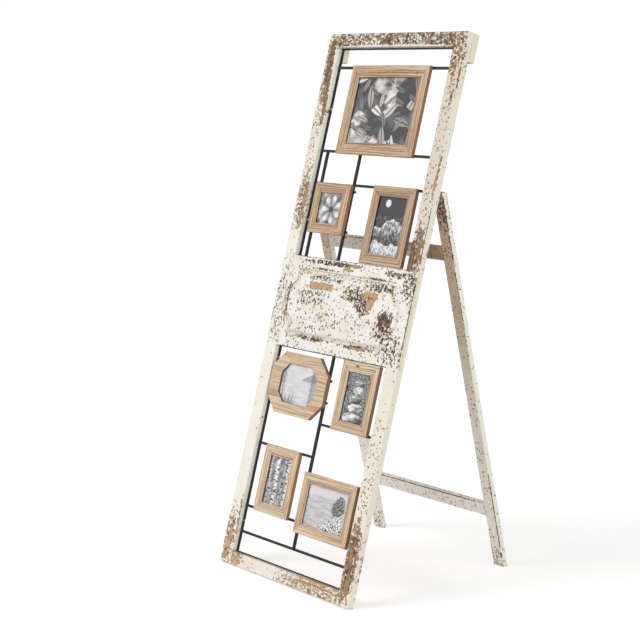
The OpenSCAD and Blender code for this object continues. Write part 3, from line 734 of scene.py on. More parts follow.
@dataclass(frozen=True)
class ChippedPaint:
    """Ivory paint, rubbed and chipped back to brown wood, with painted shade in corners and on
    faces that turn from the front.

    Attributes:
        front: The coat on the front face.
        side: The coat on the side faces.
        clean: The coat where it was touched least.
        upper_coat: The coat high up.
        upper_from: Height in metres where the coat starts to turn to the colour high up.
        upper_to: Height in metres where it has that colour fully.
        brown: The wood's brown.
        dark: The wood's darkest brown, also the colour of the painted shade in corners.
        slope_shade: Painted shade on faces that turn away from the front.
        tan: Freshly bared wood.
        wear: Share of the paint that is gone all over.
        specks: Share of fine specks all over.
        edge_wear: Further wear at the arrises.
        edge_reach: How far that reaches, in millimetres.
        side_spared: How much less wear there is on the side faces.
        rear_spared: The same on the back.
        side_clear: Share of the fine specks that the side faces are spared.
        flake: Size of a flake in millimetres.
        chip: Size of a cell that holds one chip, in millimetres.
        stretch: How far the flakes are drawn out across, back and up.
        darkness: Share of dark brown in the wood.
        depth: Thickness of the paint in millimetres.
    """

    front: Colour = display(238, 232, 218)
    side: Colour = display(238, 234, 208)
    clean: Colour = display(242, 239, 230)
    upper_coat: Colour = display(238, 232, 218)
    upper_from: float = 1.0
    upper_to: float = 2.0
    brown: Colour = display(160, 128, 96)
    dark: Colour = display(74, 56, 44)
    slope_shade: Colour = display(186, 164, 138)
    tan: Colour = display(214, 178, 134)
    wear: float = 0.2
    specks: float = 0.1
    edge_wear: float = 0.35
    edge_reach: float = 4.0
    side_spared: float = 0.24
    rear_spared: float = 0.3
    side_clear: float = 0.8
    flake: float = 11.0
    chip: float = 7.0
    stretch: tuple[float, float, float] = (1.0, 1.0, 1.0)
    darkness: float = 0.5
    depth: float = 0.3

    def losses(self, at: PaintedPoint, worn: tuple[Worn, ...]) -> tuple[Socket, Socket]:
        """Works out where the paint is gone.

        Args:
            at: The point.
            worn: The timber's worn places.

        Returns:
            The mask of flaked paint and the mask of small chips.
        """
        tree = at.tree
        shift = tree.minus(at.clouds, 0.5)
        wear = tree.times_plus(shift, 0.6, self.wear)
        specks = tree.times_plus(shift, 0.5, self.specks)
        for spot in worn:
            patch = spot.patch(at, at.fray)
            if spot.arris:
                patch = tree.times(patch, at.near)
            moved = tree.times_plus(tree.minus(spot.wear, wear), patch, wear)
            wear = tree.greater(wear, moved) if spot.wear > 0 else moved
            if spot.specks > 0:
                specks = tree.greater(specks, tree.times(patch, spot.specks))
        wear = tree.times_plus(at.sideways, -self.side_spared, wear)
        wear = tree.times_plus(at.rear, -self.rear_spared, wear)
        specks = tree.times(specks, tree.times_plus(at.sideways, -self.side_clear, 1.0))
        patchy = tree.ramp(tree.noise(at.place, 28.0, 2.0), 0.36, 0.6, 0.3, 1.0)
        wear = tree.times_plus(tree.times(at.near, patchy), self.edge_wear, wear)
        flaked = tree.use(at.effects.flakes, place=at.place, size=self.flake * MM,
                          stretch=self.stretch, wear=wear, softness=0.012)
        chipped = tree.use(at.effects.chips, place=at.place, size=self.chip * MM, share=specks)
        return flaked.outputs[0], chipped.outputs[0]

    def wood(self, at: PaintedPoint, bare: tuple[Bare, ...]) -> tuple[Socket, Value]:
        """Works out the wood under the paint.

        Args:
            at: The point.
            bare: The timber's bare places.

        Returns:
            The wood's colour, and the mask of the bare places.
        """
        tree = at.tree
        soot = tree.ramp(tree.noise(at.place, 70.0, 3.0, 0.6), 0.6 - 0.4 * self.darkness,
                         0.72 - 0.3 * self.darkness)
        under = tree.blend(soot, self.brown, self.dark)
        fibre = tree.noise(tree.vector("DIVIDE", at.place, (0.0014, 0.0014, 0.03)), 1.0, 2.0)
        streaks = tree.ramp(fibre, 0.42, 0.62)
        cloudy = tree.ramp(tree.noise(at.place, 90.0, 3.0, 0.6), 0.44, 0.56)
        calm_fray = tree.times(at.fray, 0.8)
        up = tree.split(at.place)[2]
        stripped = 0.0
        for spot in bare:
            patch = spot.patch(at, calm_fray, spot.boxy)
            wood = tree.blend(streaks, tree.blend(spot.deep, self.tan, self.brown),
                              tree.blend(spot.deep, self.brown, self.dark))
            pale_share = 0.35 * (1 - spot.deep)
            wood = tree.blend(tree.ramp(streaks, 0.0, 1.0, pale_share, 0.0), wood, self.tan)
            wood = tree.blend(tree.times(cloudy, 0.7 * spot.deep), wood, self.dark)
            under = tree.blend(tree.ramp(patch, 0.4, 0.5), under, wood)
            # A dark rim round each bare place: the brown edge of the paint, with painted shadow of
            # that edge along the top.
            half = spot.high * 0.5 * MM
            above = tree.ramp(tree.minus(up, spot.up * MM), -half, half, 0.35, 1.0)
            rim = tree.times(tree.ramp(patch, 0.3, 0.4), tree.ramp(patch, 0.9, 0.6))
            under = tree.blend(tree.times(rim, above), under, self.dark)
            stripped = tree.greater(stripped, tree.ramp(patch, 0.35, 0.45))
        return under, stripped

    def coat(self, at: PaintedPoint) -> Socket:
        """Works out the colour of the paint that is left, with painted shade on faces that turn
        from the front.

        Args:
            at: The point.

        Returns:
            The colour.
        """
        tree = at.tree
        coat = tree.blend(tree.ramp(at.clouds, 0.6, 0.42), self.front, self.clean)
        up = tree.split(at.place)[2]
        # The coat turns to another colour higher up, darker and greyer on the stiles and legs.
        coat = tree.blend(tree.ramp(up, self.upper_from, self.upper_to), coat, self.upper_coat)
        # Painted shade: faces that turn away from square-on take the shade colour.
        slope_shade_share = tree.ramp(at.square_on, 0.985, 0.8, 0.04, 0.6)
        coat = tree.blend(slope_shade_share, coat, self.slope_shade)
        coat = tree.blend(at.sideways, coat, self.side)
        stain = tree.noise(at.place, 110.0, 4.0, 0.65)
        return tree.blend(tree.ramp(stain, 0.55, 0.8, 0.0, 0.12), coat, self.tan)

    def make(self, name: str, effects: Effects, plane: Plane, box: Box,
             worn: tuple[Worn, ...], bare: tuple[Bare, ...]) -> Material:
        """Makes the paint of one timber.

        Args:
            name: The material's name.
            effects: The shared effects.
            plane: The plane that the timber lies in.
            box: The timber's middle and half sizes in that plane.
            worn: Its worn places.
            bare: Its bare places.

        Returns:
            The material.
        """
        tree, shader, material = start_material(name)
        at = PaintedPoint.of(tree, effects, plane, box, self.edge_reach * MM)
        flaked, chipped = self.losses(at, worn)
        under, stripped = self.wood(at, bare)
        in_front = tree.ramp(at.rear, 0.0, 1.0, 1.0, 0.0)
        gone = tree.greater(tree.greater(flaked, chipped), tree.times(stripped, in_front))
        colour = tree.blend(gone, self.coat(at), under)
        # Painted shade: corners and recesses darken towards dark brown, read from ambient
        # occlusion.
        corner_shade = tree.ramp(tree.openness(6 * MM), 0.85, 0.35, 0.0, 0.6)
        tree.fill(shader, {"Base Color": tree.blend(corner_shade, colour, self.dark),
                           "Roughness": tree.ramp(gone, 0.0, 1.0, 0.55, 0.82)})
        brushed = tree.noise(tree.vector("DIVIDE", at.place, (0.0015, 0.0015, 0.012)), 1.0, 2.0)
        height = tree.times_plus(brushed, 0.2, tree.minus(1.0, flaked))
        roughen(tree, shader, height, self.depth * MM)
        return material


@dataclass(frozen=True)
class MouldingPoint:
    """What the shader of a small frame knows of a point, in metres.

    Attributes:
        place: Its place in the leaning plane.
        across: Its place across, from the frame's middle.
        back: Its depth behind the plane.
        up: Its place up the slope, from the frame's middle.
        inside: Its distance out from the sight.
        rim: Its distance in from the nearest outer edge.
        rim_side: Its distance in from the outer edge at the sides.
        rim_cut: Its distance in from the outer edge at the cut corners.
        mitre: 0 on a mitre, more on level sticks and less on upright ones.
    """

    place: Socket
    across: Socket
    back: Socket
    up: Socket
    inside: Socket
    rim: Socket
    rim_side: Socket
    rim_cut: Socket
    mitre: Socket

    @staticmethod
    def of(tree: Tree, place: Socket, middle: Vector, outer: Reach, sight: Reach
           ) -> "MouldingPoint":
        """Adds the nodes that read a point.

        Args:
            tree: The material's tree.
            place: The point's place in the leaning plane.
            middle: The frame's middle in that plane.
            outer: Its outer half width and half height, and their sum at its cut corners.
            sight: The same of its sight.

        Returns:
            The point.
        """
        across, back, up = tree.split(tree.vector("SUBTRACT", place, (middle.x, 0.0, middle.z)))
        side = tree.unsigned(across)
        end = tree.unsigned(up)
        both = tree.plus(side, end)
        past_side = tree.minus(side, sight[0])
        past_end = tree.minus(end, sight[1])
        past_cut = tree.times(tree.minus(both, sight[2]), math.sqrt(0.5))
        rim_side = tree.minus(outer[0], side)
        rim_cut = tree.times(tree.minus(outer[2], both), math.sqrt(0.5))
        return MouldingPoint(
            place=place, across=across, back=back, up=up, rim_side=rim_side, rim_cut=rim_cut,
            inside=tree.greater(tree.greater(past_side, past_end), past_cut),
            rim=tree.lesser(tree.lesser(tree.minus(outer[1], end), rim_cut), rim_side),
            mitre=tree.minus(past_end, past_side))


@dataclass(frozen=True)
class WaxedPine:
    """Pine moulding with a low wax sheen; its grain turns at every mitre.

    Attributes:
        light: The wood's lightest tone.
        middle: Its middle tone.
        dark: Its dark bands.
        knot_and_shade: Its knots, its fine dark lines and the painted shade in its corners.
        edge: Its outer side faces, darker with stain and with painted shade.
        wall_shade: Painted shade on the wall of its sight.
        lime_and_highlight: The pale line on the bead, white wax with a painted highlight.
        tone: Brightness of all its tones.
        flat_share: Share of the moulding's width from the rim to the bead.
        level_grain: True where the grain runs level all round.
        wall_from: Depth in millimetres where the wall of the sight starts.
        seed: Another number gives another grain.
        bump: Depth of the fibres, in millimetres.
    """

    light: Colour = display(228, 202, 170)
    middle: Colour = display(204, 172, 138)
    dark: Colour = display(158, 122, 88)
    knot_and_shade: Colour = display(100, 66, 44)
    edge: Colour = display(134, 98, 66)
    wall_shade: Colour = display(44, 28, 20)
    lime_and_highlight: Colour = display(236, 222, 206)
    tone: float = 1.0
    flat_share: float = 0.7
    level_grain: bool = False
    wall_from: float = 2.6
    seed: float = 0.0
    bump: float = 0.15

    def grown(self, tree: Tree, effects: Effects, at: MouldingPoint) -> tuple[Socket, Socket]:
        """Works out the plain wood of each stick.

        Args:
            tree: The material's tree.
            effects: The shared effects.
            at: The point.

        Returns:
            The wood's colour and the height of its fibres.
        """
        level = 1.0 if self.level_grain else tree.math("GREATER_THAN", at.mitre, 0.0)
        hand = 0.0
        if not self.level_grain:
            upright = tree.math("SIGN", at.across)
            hand = tree.times_plus(tree.minus(tree.math("SIGN", at.up), upright), level, upright)
        along = tree.add("ShaderNodeMix", data_type="VECTOR")
        tree.feed(along.inputs["Factor"], level)
        tree.feed(along.inputs[4], tree.join(at.up, at.across, at.back))
        tree.feed(along.inputs[5], tree.join(at.across, at.up, at.back))
        seed = tree.times_plus(level, 3.7, tree.plus(self.seed, hand))
        grain = tree.use(effects.grain, along=along.outputs[1], seed=seed)
        tone = grain.outputs["Tone"]
        wood = tree.blend(tree.ramp(tone, 0.5, 0.57), self.middle, self.light)
        wood = tree.blend(tree.ramp(tone, 0.49, 0.41), wood, self.dark)
        wood = tree.blend(grain.outputs["Knot"], wood, self.knot_and_shade)
        wood = tree.blend(1.0, wood, (self.tone, self.tone, self.tone, 1.0), "MULTIPLY")
        own = tree.join(tree.times(level, 9.0), tree.times(hand, 5.0), self.seed * 3.1)
        stick = tree.noise(own, 1.0, 0.0)
        wood = tree.blend(tree.ramp(stick, 0.3, 0.7, 0.28, 0.0), wood, self.dark)
        return wood, grain.outputs["Fibre"]

    def joined(self, tree: Tree, at: MouldingPoint, wood: Value, width: float) -> Socket:
        """Adds the lines of the mitres and the pale line on the bead, wax with a painted highlight.

        Args:
            tree: The material's tree.
            at: The point.
            wood: The plain wood's colour.
            width: The moulding's width in metres.

        Returns:
            The colour.
        """
        line = tree.ramp(tree.unsigned(at.mitre), 0.8 * MM, 0.2 * MM, 0.0, 0.6)
        wood = tree.blend(line, wood, self.knot_and_shade)
        # The pale line on the bead is white wax with a painted highlight.
        bead = width * self.flat_share - 1.5 * MM
        off_bead = tree.unsigned(tree.minus(at.rim, bead))
        bead_line_strength = tree.ramp(tree.noise(at.place, 60.0, 2.0), 0.4, 0.6, 0.12, 0.55)
        bead_line_share = tree.times(bead_line_strength, tree.ramp(off_bead, 1.7 * MM, 0.9 * MM))
        return tree.blend(bead_line_share, wood, self.lime_and_highlight)

    def make(self, name: str, effects: Effects, plane: Plane, middle: Vector, outer: Reach,
             sight: Reach) -> Material:
        """Makes the pine of one small frame.

        Args:
            name: The material's name.
            effects: The shared effects.
            plane: The plane that the frame lies in.
            middle: The frame's middle in that plane.
            outer: Its outer half width and half height, and their sum at its cut corners.
            sight: The same of its sight.

        Returns:
            The material.
        """
        tree, shader, material = start_material(name)
        at = MouldingPoint.of(tree, effects.placed(tree, plane), middle, outer, sight)
        wood, fibre = self.grown(tree, effects, at)
        # The outer side faces are darker: stain, with painted shade laid on it.
        outside = tree.lesser(at.rim_side, at.rim_cut) if self.level_grain else at.rim_side
        wood = tree.blend(tree.ramp(outside, 0.9 * MM, 0.2 * MM), wood, self.edge)
        if not self.level_grain:
            wood = self.joined(tree, at, wood, outer[0] - sight[0])
        wood = tree.blend(tree.ramp(at.rim, 0.9 * MM, 0.2 * MM, 0.0, 0.5), wood, self.dark)
        # Painted shade: corners and steps darken towards the knot colour, read from ambient
        # occlusion.
        corner_shade = tree.ramp(tree.openness(3 * MM), 0.95, 0.45, 0.0, 0.8)
        wood = tree.blend(corner_shade, wood, self.knot_and_shade)
        # Painted shade: the wall of the sight, behind its front edge, is coloured dark brown.
        deep = tree.ramp(at.back, self.wall_from * MM, (self.wall_from + 0.8) * MM)
        wall = tree.times(tree.ramp(at.inside, 0.6 * MM, 0.2 * MM), deep)
        tree.fill(shader, {"Base Color": tree.blend(wall, wood, self.wall_shade),
                           "Roughness": tree.ramp(fibre, 0.3, 0.7, 0.5, 0.68)})
        roughen(tree, shader, fibre, self.bump * MM)
        return material


class PlainFinish:
    """A finish that is the same all over a piece."""

    def make(self, name: str, effects: Effects, plane: Plane) -> Material:
        """Makes the finish.

        Args:
            name: The material's name.
            effects: The shared effects.
            plane: The plane that gives its places.

        Returns:
            The material.
        """
        tree, shader, material = start_material(name)
        self.cover(tree, shader, effects, effects.placed(tree, plane))
        return material

    def cover(self, tree: Tree, shader: bpy.types.Node, effects: Effects, place: Value) -> None:
        """Feeds the shader.

        Args:
            tree: The material's tree.
            shader: Its Principled shader.
            effects: The shared effects.
            place: The place of a point.
        """
        raise NotImplementedError


@dataclass(frozen=True)
class BlackEnamel(PlainFinish):
    """Black enamel on mild steel, rubbed grey in places."""

    black: Colour = display(30, 30, 32)
    rubbed: Colour = display(62, 59, 59)
    flake: float = 5.0
    bump: float = 0.1

    def cover(self, tree: Tree, shader: bpy.types.Node, effects: Effects, place: Value) -> None:
        """Feeds the shader.

        Args:
            tree: The material's tree.
            shader: Its Principled shader.
            effects: The shared effects.
            place: The place of a point.
        """
        rub = tree.use(effects.flakes, place=place, size=self.flake * MM,
                       stretch=(1.0, 1.0, 1.0), wear=0.2, softness=0.06).outputs[0]
        tree.fill(shader, {"Base Color": tree.blend(rub, self.black, self.rubbed),
                           "Roughness": tree.ramp(rub, 0.0, 1.0, 0.46, 0.62),
                           "Specular IOR Level": 0.25})
        roughen(tree, shader, tree.noise(place, 700.0, 2.0), self.bump * MM)


@dataclass(frozen=True)
class PlainSteel(PlainFinish):
    """Brushed or plated steel of screws, turn buttons and hinges."""

    bright: Colour = display(196, 194, 188)
    dull: Colour = display(140, 136, 128)
    rough: float = 0.35

    def cover(self, tree: Tree, shader: bpy.types.Node, effects: Effects, place: Value) -> None:
        """Feeds the shader.

        Args:
            tree: The material's tree.
            shader: Its Principled shader.
            effects: The shared effects.
            place: The place of a point.
        """
        haze = tree.noise(place, 220.0, 4.0, 0.6)
        colour = tree.blend(tree.ramp(haze, 0.4, 0.65), self.bright, self.dull)
        rough = tree.ramp(haze, 0.35, 0.7, self.rough, self.rough + 0.2)
        tree.fill(shader, {"Base Color": colour, "Metallic": 1.0, "Roughness": rough})


@dataclass(frozen=True)
class Hardboard(PlainFinish):
    """Brown hardboard with its fine fibres."""

    brown: Colour = display(134, 98, 66)
    dark: Colour = display(98, 68, 44)
    rough: float = 0.7
    bump: float = 0.15

    def cover(self, tree: Tree, shader: bpy.types.Node, effects: Effects, place: Value) -> None:
        """Feeds the shader.

        Args:
            tree: The material's tree.
            shader: Its Principled shader.
            effects: The shared effects.
            place: The place of a point.
        """
        pulp = tree.noise(place, 900.0, 4.0, 0.7)
        mixed = tree.times_plus(tree.noise(place, 30.0, 2.0), 0.4, tree.times(pulp, 0.6))
        colour = tree.blend(tree.ramp(mixed, 0.35, 0.65), self.dark, self.brown)
        tree.fill(shader, {"Base Color": colour, "Roughness": self.rough})
        roughen(tree, shader, pulp, self.bump * MM)


@dataclass(frozen=True)
class PictureGlass:
    """Thin clear glass that lets the light through to the print."""

    rough: float = 0.02

    def make(self, name: str) -> Material:
        """Makes the glass.

        Args:
            name: The material's name.

        Returns:
            The material.
        """
        tree, shader, material = start_material(name)
        tree.fill(shader, {"Base Color": WHITE, "Roughness": self.rough,
                           "Transmission Weight": 1.0, "IOR": 1.45})
        path = tree.add("ShaderNodeLightPath")
        passing = tree.greater(path.outputs["Is Shadow Ray"], path.outputs["Is Diffuse Ray"])
        clear = tree.add("ShaderNodeBsdfTransparent")
        either = tree.add("ShaderNodeMixShader")
        tree.feed(either.inputs[0], passing)
        tree.feed(either.inputs[1], shader.outputs[0])
        tree.feed(either.inputs[2], clear.outputs[0])
        out = next(n for n in tree.nodes.nodes if n.type == "OUTPUT_MATERIAL")
        tree.feed(out.inputs["Surface"], either.outputs[0])
        return material


class Motif(Enum):
    """What a print shows."""

    LEAVES = "leaves"
    BLOSSOM = "blossom"
    HILLS = "hills"
    BAY = "bay"
    STONES = "stones"
    TRUNKS = "trunks"
    SHORE = "shore"


@dataclass(frozen=True)
class Card:
    """The card that a design is drawn on.

    Attributes:
        tree: The material's tree.
        across: Place across, 1 at half of the card's short side.
        up: Place up, in the same measure.
    """

    tree: Tree
    across: Socket
    up: Socket

    def noise(self, wide: float, high: float, seed: float, *look: float) -> Socket:
        """Adds a noise texture.

        Args:
            wide: Factor of the place across.
            high: Factor of the place up.
            seed: Another number gives another pattern.
            look: Its scale, detail and roughness.

        Returns:
            Its value.
        """
        tree = self.tree
        place = tree.join(tree.times(self.across, wide), tree.times(self.up, high), seed)
        return tree.noise(place, *look)

    def walls(self, seed: float, scale: float) -> Socket:
        """Returns the distance to the nearest wall between cells."""
        place = self.tree.join(self.across, self.up, seed)
        return self.tree.cells(place, scale, "DISTANCE_TO_EDGE").outputs["Distance"]

    def disc(self, at: tuple[float, float], reach: tuple[float, float], soft: float,
             shift: tuple[Value, Value] = (0.0, 0.0)) -> Socket:
        """Returns the mask of an oval.

        Args:
            at: The oval's middle.
            reach: Its half width and half height.
            soft: Softness of its edge.
            shift: How far the place is shifted across and up.

        Returns:
            The mask.
        """
        tree = self.tree
        x = tree.math("DIVIDE", tree.minus(tree.plus(self.across, shift[0]), at[0]), reach[0])
        y = tree.math("DIVIDE", tree.minus(tree.plus(self.up, shift[1]), at[1]), reach[1])
        length = tree.vector("LENGTH", tree.join(x, y, 0.0))
        return tree.ramp(length, 1 + soft, 1 - soft)

    def over(self, tone: Value, mask: Value, new: Value) -> Socket:
        """Lays a new tone over another one through a mask."""
        return self.tree.times_plus(self.tree.minus(new, tone), mask, tone)

    def scattered(self, scale: float, seed: float) -> tuple[Socket, ...]:
        """Scatters turned copies of a motif.

        Args:
            scale: How many copies fit in one unit.
            seed: Another number gives another layout.

        Returns:
            Place along and beside the copy's own axis, and a number of its own.
        """
        tree = self.tree
        cell = tree.cells(tree.join(self.across, self.up, seed), scale, uneven=0.8)
        flat = tree.join(self.across, self.up, 0.0)
        own = tree.vector("SUBTRACT", flat, cell.outputs["Position"])
        number = tree.split(cell.outputs["Color"])[0]
        turn = tree.add("ShaderNodeVectorRotate", rotation_type="Z_AXIS")
        tree.fill(turn, {"Vector": tree.scale(own, scale), "Angle": tree.times(number, 5.0)})
        along, beside, _ = tree.split(turn.outputs[0])
        return along, beside, number


@dataclass(frozen=True)
class GreyPrint:
    """A greyscale print of a plain design on card.

    Attributes:
        motif: What it shows.
        light: Its middle tone.
        contrast: Its contrast.
        black: Its darkest tone.
        white: Its lightest tone.
        speckle: Strength of its fine grain.
        gamma: Power that turns a tone into a share of white.
        rough: Roughness of the card.
    """

    motif: Motif
    light: float = 0.5
    contrast: float = 1.0
    black: Colour = display(24, 23, 24)
    white: Colour = display(240, 240, 242)
    speckle: float = 0.08
    gamma: float = 2.2
    rough: float = 0.4

    def make(self, name: str, effects: Effects, plane: Plane, box: Box) -> Material:
        """Makes the print.

        Args:
            name: The material's name.
            effects: The shared effects.
            plane: The plane that the print lies in.
            box: Its middle and half sizes in that plane.

        Returns:
            The material.
        """
        tree, shader, material = start_material(name)
        place = effects.placed(tree, plane)
        middle, half = box
        spot = tree.vector("SUBTRACT", place, tuple(middle))
        across, _, up = tree.split(tree.scale(spot, 1 / min(half.x, half.z)))
        tone = getattr(self, self.motif.value)(Card(tree, across, up))
        tone = tree.times_plus(tone, self.contrast, self.light - 0.5 * self.contrast)
        grain = tree.minus(tree.noise(place, 1500.0, 1.0), 0.5)
        tone = tree.math("MULTIPLY_ADD", grain, self.speckle, tone, clamp=True)
        tone = tree.math("POWER", tone, self.gamma)
        tree.fill(shader, {"Base Color": tree.blend(tone, self.black, self.white),
                           "Roughness": self.rough})
        return material

    def leaves(self, on: Card) -> Socket:
        """Light ribbed leaves that lie every way over flowing dark bands.

        Args:
            on: The card.

        Returns:
            The tones.
        """
        tree = on.tree
        warp = on.noise(1.0, 1.0, 2.0, 1.3, 3.0, 0.55)
        bands = tree.math("SINE", tree.plus(tree.times(on.up, 5.0), tree.times(warp, 16.0)))
        light = tree.ramp(on.noise(0.5, 1.0, 6.0, 1.6, 2.0), 0.52, 0.6, 0.0, 0.5)
        tone = tree.plus(tree.times_plus(bands, 0.13, 0.2), light)
        for scale, seed, wide, bright in ((1.25, 0.0, 0.2, 0.66), (1.9, 5.0, 0.17, 0.5)):
            along, beside, number = on.scattered(scale, seed)
            aside = tree.unsigned(beside)
            bow = tree.times_plus(tree.times(along, along), 1.4,
                                  tree.math("DIVIDE", aside, wide * 2.4))
            slope = tree.minus(along, aside)
            vein = tree.unsigned(tree.math("SINE", tree.times(slope, 38.0)))
            rib = tree.ramp(aside, 0.01, 0.03, 0.3, 1.0)
            lit = tree.times(rib, tree.times_plus(vein, 0.3, bright - 0.1))
            lit = tree.times(lit, tree.times_plus(number, 0.6, 0.6))
            tone = on.over(tone, tree.ramp(bow, 0.34, 0.28), lit)
        return tone

    def blossom(self, on: Card) -> Socket:
        """One light flower with soft petals on a clouded ground.

        Args:
            on: The card.

        Returns:
            The tones.
        """
        tree = on.tree
        x = tree.minus(on.across, 0.1)
        y = tree.plus(on.up, 0.05)
        angle = tree.math("ARCTAN2", y, x)
        petal = tree.unsigned(tree.math("SINE", tree.times(angle, 3.5)))
        length = tree.vector("LENGTH", tree.join(x, y, 0.0))
        edge = tree.times_plus(petal, 0.3, 0.5)
        flower = tree.ramp(tree.minus(length, edge), 0.05, -0.04)
        lit = tree.times_plus(tree.times(petal, length), 0.75, 0.32)
        ray = tree.noise(tree.join(tree.times(angle, 9.0), length, 0.0), 1.0, 2.0)
        lit = tree.times(lit, tree.times_plus(ray, 0.7, 0.65))
        ground = tree.times_plus(on.noise(1.0, 1.0, 1.0, 2.4, 4.0), 1.3, -0.2)
        tone = on.over(ground, flower, lit)
        return on.over(tone, on.disc((0.1, -0.05), (0.16, 0.16), 0.3), 0.1)

    def hills(self, on: Card) -> Socket:
        """Ranges of hills, lighter towards the front, under a dark sky with a pale moon.

        Args:
            on: The card.

        Returns:
            The tones.
        """
        tree = on.tree
        tone = tree.times_plus(on.up, -0.05, 0.12)
        tone = on.over(tone, on.disc((-0.3, 1.0), (0.17, 0.17), 0.06), 0.8)
        for index, (level, rise, bright) in enumerate((
                (0.45, 0.5, 0.16), (0.1, 0.45, 0.5), (-0.4, 0.5, 0.22), (-0.8, 0.4, 0.62))):
            ridge = on.noise(1.0, 0.0, index * 5.3, 1.6, 5.0, 0.5)
            crest = tree.times_plus(tree.minus(ridge, 0.5), rise * 3, level)
            below = tree.minus(crest, on.up)
            rock = on.noise(1.6, 1.0, index * 2.0, 5.0, 5.0, 0.65)
            lit = tree.times_plus(below, -0.3, bright)
            lit = tree.times_plus(tree.ramp(rock, 0.4, 0.62), 0.35, lit)
            tone = on.over(tone, tree.ramp(below, -0.02, 0.02), lit)
        return tone

    def bay(self, on: Card) -> Socket:
        """A pale bay with long ripples, a far headland and reeds in front.

        Args:
            on: The card.

        Returns:
            The tones.
        """
        tree = on.tree
        tone = tree.times_plus(on.noise(1.5, 8.0, 3.0, 1.0, 3.0), 0.4, 0.5)
        sky = tree.ramp(on.up, 0.22, 0.26)
        cloud = on.noise(1.0, 2.0, 5.0, 1.5, 3.0)
        tone = on.over(tone, sky, tree.times_plus(cloud, 0.4, 0.55))
        rough = on.noise(1.0, 0.0, 2.0, 3.0, 4.0)
        rise = tree.ramp(on.across, -0.3, 1.1, 0.18, 0.62)
        crest = tree.times_plus(tree.minus(rough, 0.5), 0.5, rise)
        land = tree.times(sky, tree.ramp(tree.minus(crest, on.up), -0.02, 0.02))
        tone = on.over(tone, land, tree.times_plus(cloud, 0.5, 0.15))
        reach = tree.times_plus(on.noise(22.0, 1.0, 1.0, 1.0, 2.0), 1.5, -1.45)
        low = tree.ramp(tree.minus(on.up, reach), 0.08, -0.04)
        left = tree.ramp(on.across, 0.2, -0.5)
        return on.over(tone, tree.times(low, left), 0.3)

    def stones(self, on: Card) -> Socket:
        """A pile of veined stones before a pebble wall.

        Args:
            on: The card.

        Returns:
            The tones.
        """
        tree = on.tree
        tone = tree.ramp(on.walls(2.0, 4.5), 0.01, 0.12, 0.03, 0.42)
        for at, reach, bright in (
                ((0.0, -1.12), (0.8, 0.33), 0.5), ((0.1, -0.56), (0.62, 0.27), 0.68),
                ((-0.06, -0.06), (0.5, 0.26), 0.4), ((0.08, 0.4), (0.4, 0.22), 0.74),
                ((0.0, 0.8), (0.3, 0.18), 0.55)):
            lit = tree.times_plus(tree.minus(on.up, at[1]), 1.2, bright)
            lit = tree.times_plus(tree.minus(on.across, at[0]), -0.5, lit)
            vein = on.noise(1.0, 3.0, bright * 9, 3.0, 4.0, 0.65)
            lit = tree.times(lit, tree.ramp(vein, 0.38, 0.6, 0.45, 1.15))
            tone = on.over(tone, on.disc(at, reach, 0.05), lit)
        return tone

    def trunks(self, on: Card) -> Socket:
        """Pale trunks with dark marks in a misty wood.

        Args:
            on: The card.

        Returns:
            The tones.
        """
        tree = on.tree
        tone = tree.times_plus(on.noise(1.0, 1.0, 1.0, 2.6, 4.0, 0.6), 1.2, -0.22)
        for middle, wide, bright in ((-0.7, 0.12, 0.62), (-0.2, 0.2, 0.82), (0.36, 0.12, 0.6),
                                     (0.76, 0.17, 0.76)):
            sway = tree.noise(tree.join(middle * 7, tree.times(on.up, 0.8), 0.0), 1.0, 1.0)
            line = tree.times_plus(tree.minus(sway, 0.5), 0.5, on.across)
            off = tree.unsigned(tree.minus(line, middle))
            bark = tree.ramp(on.noise(3.0, 11.0, middle, 1.0, 2.0), 0.6, 0.52, 0.14, bright)
            shade = tree.times(bark, tree.ramp(off, wide, 0.0, 0.6, 1.0))
            tone = on.over(tone, tree.ramp(off, wide + 0.02, wide - 0.02), shade)
        return tone

    def shore(self, on: Card) -> Socket:
        """A light sea with waves, a dark rock and a bank of pebbles.

        Args:
            on: The card.

        Returns:
            The tones.
        """
        tree = on.tree
        tone = tree.times_plus(on.noise(1.4, 7.0, 0.0, 1.0, 4.0, 0.6), 0.6, 0.3)
        tone = on.over(tone, tree.ramp(on.up, 0.5, 0.53), 0.68)
        craggy = on.noise(1.0, 0.6, 8.0, 3.2, 5.0, 0.62)
        ragged = (tree.times(craggy, 0.9), tree.times(craggy, -0.7))
        rock = on.disc((1.25, -0.2), (0.42, 0.62), 0.03, ragged)
        lit = tree.ramp(on.noise(1.0, 1.0, 3.0, 9.0, 4.0, 0.7), 0.4, 0.62, 0.05, 0.5)
        tone = on.over(tone, rock, lit)
        pebble = tree.ramp(on.walls(0.0, 6.5), 0.03, 0.1, 0.03, 0.85)
        edge = tree.times_plus(on.noise(1.0, 0.0, 0.0, 2.5, 2.0), 0.5, -0.85)
        slope = tree.times_plus(on.across, 0.55, edge)
        bank = tree.ramp(tree.minus(on.up, slope), 0.03, -0.03)
        return on.over(tone, bank, pebble)


Paintwork = dict[str, tuple[ChippedPaint, tuple[Worn, ...], tuple[Bare, ...]]]


@dataclass
class Assembly:
    """Pieces that lie in one plane.

    Attributes:
        plane: Their plane.
        effects: The shared effects.
        nodes: The nodes by name.
    """

    plane: Plane
    effects: Effects
    nodes: dict[str, Piece]


class Timbers(Assembly):
    """Painted timbers."""

    def paintwork(self) -> Paintwork:
        """Lists the looks of each timber.

        Returns:
            Its finish, its worn places and its bare places by node.
        """
        raise NotImplementedError

    def dress(self) -> None:
        """Paints every timber."""
        for name, (finish, worn, bare) in self.paintwork().items():
            piece = self.nodes[name]
            box = self.plane.box(piece)
            dress(piece, finish.make(name + "_paint", self.effects, self.plane, box, worn, bare))
            LOG.info("painted %s", name)


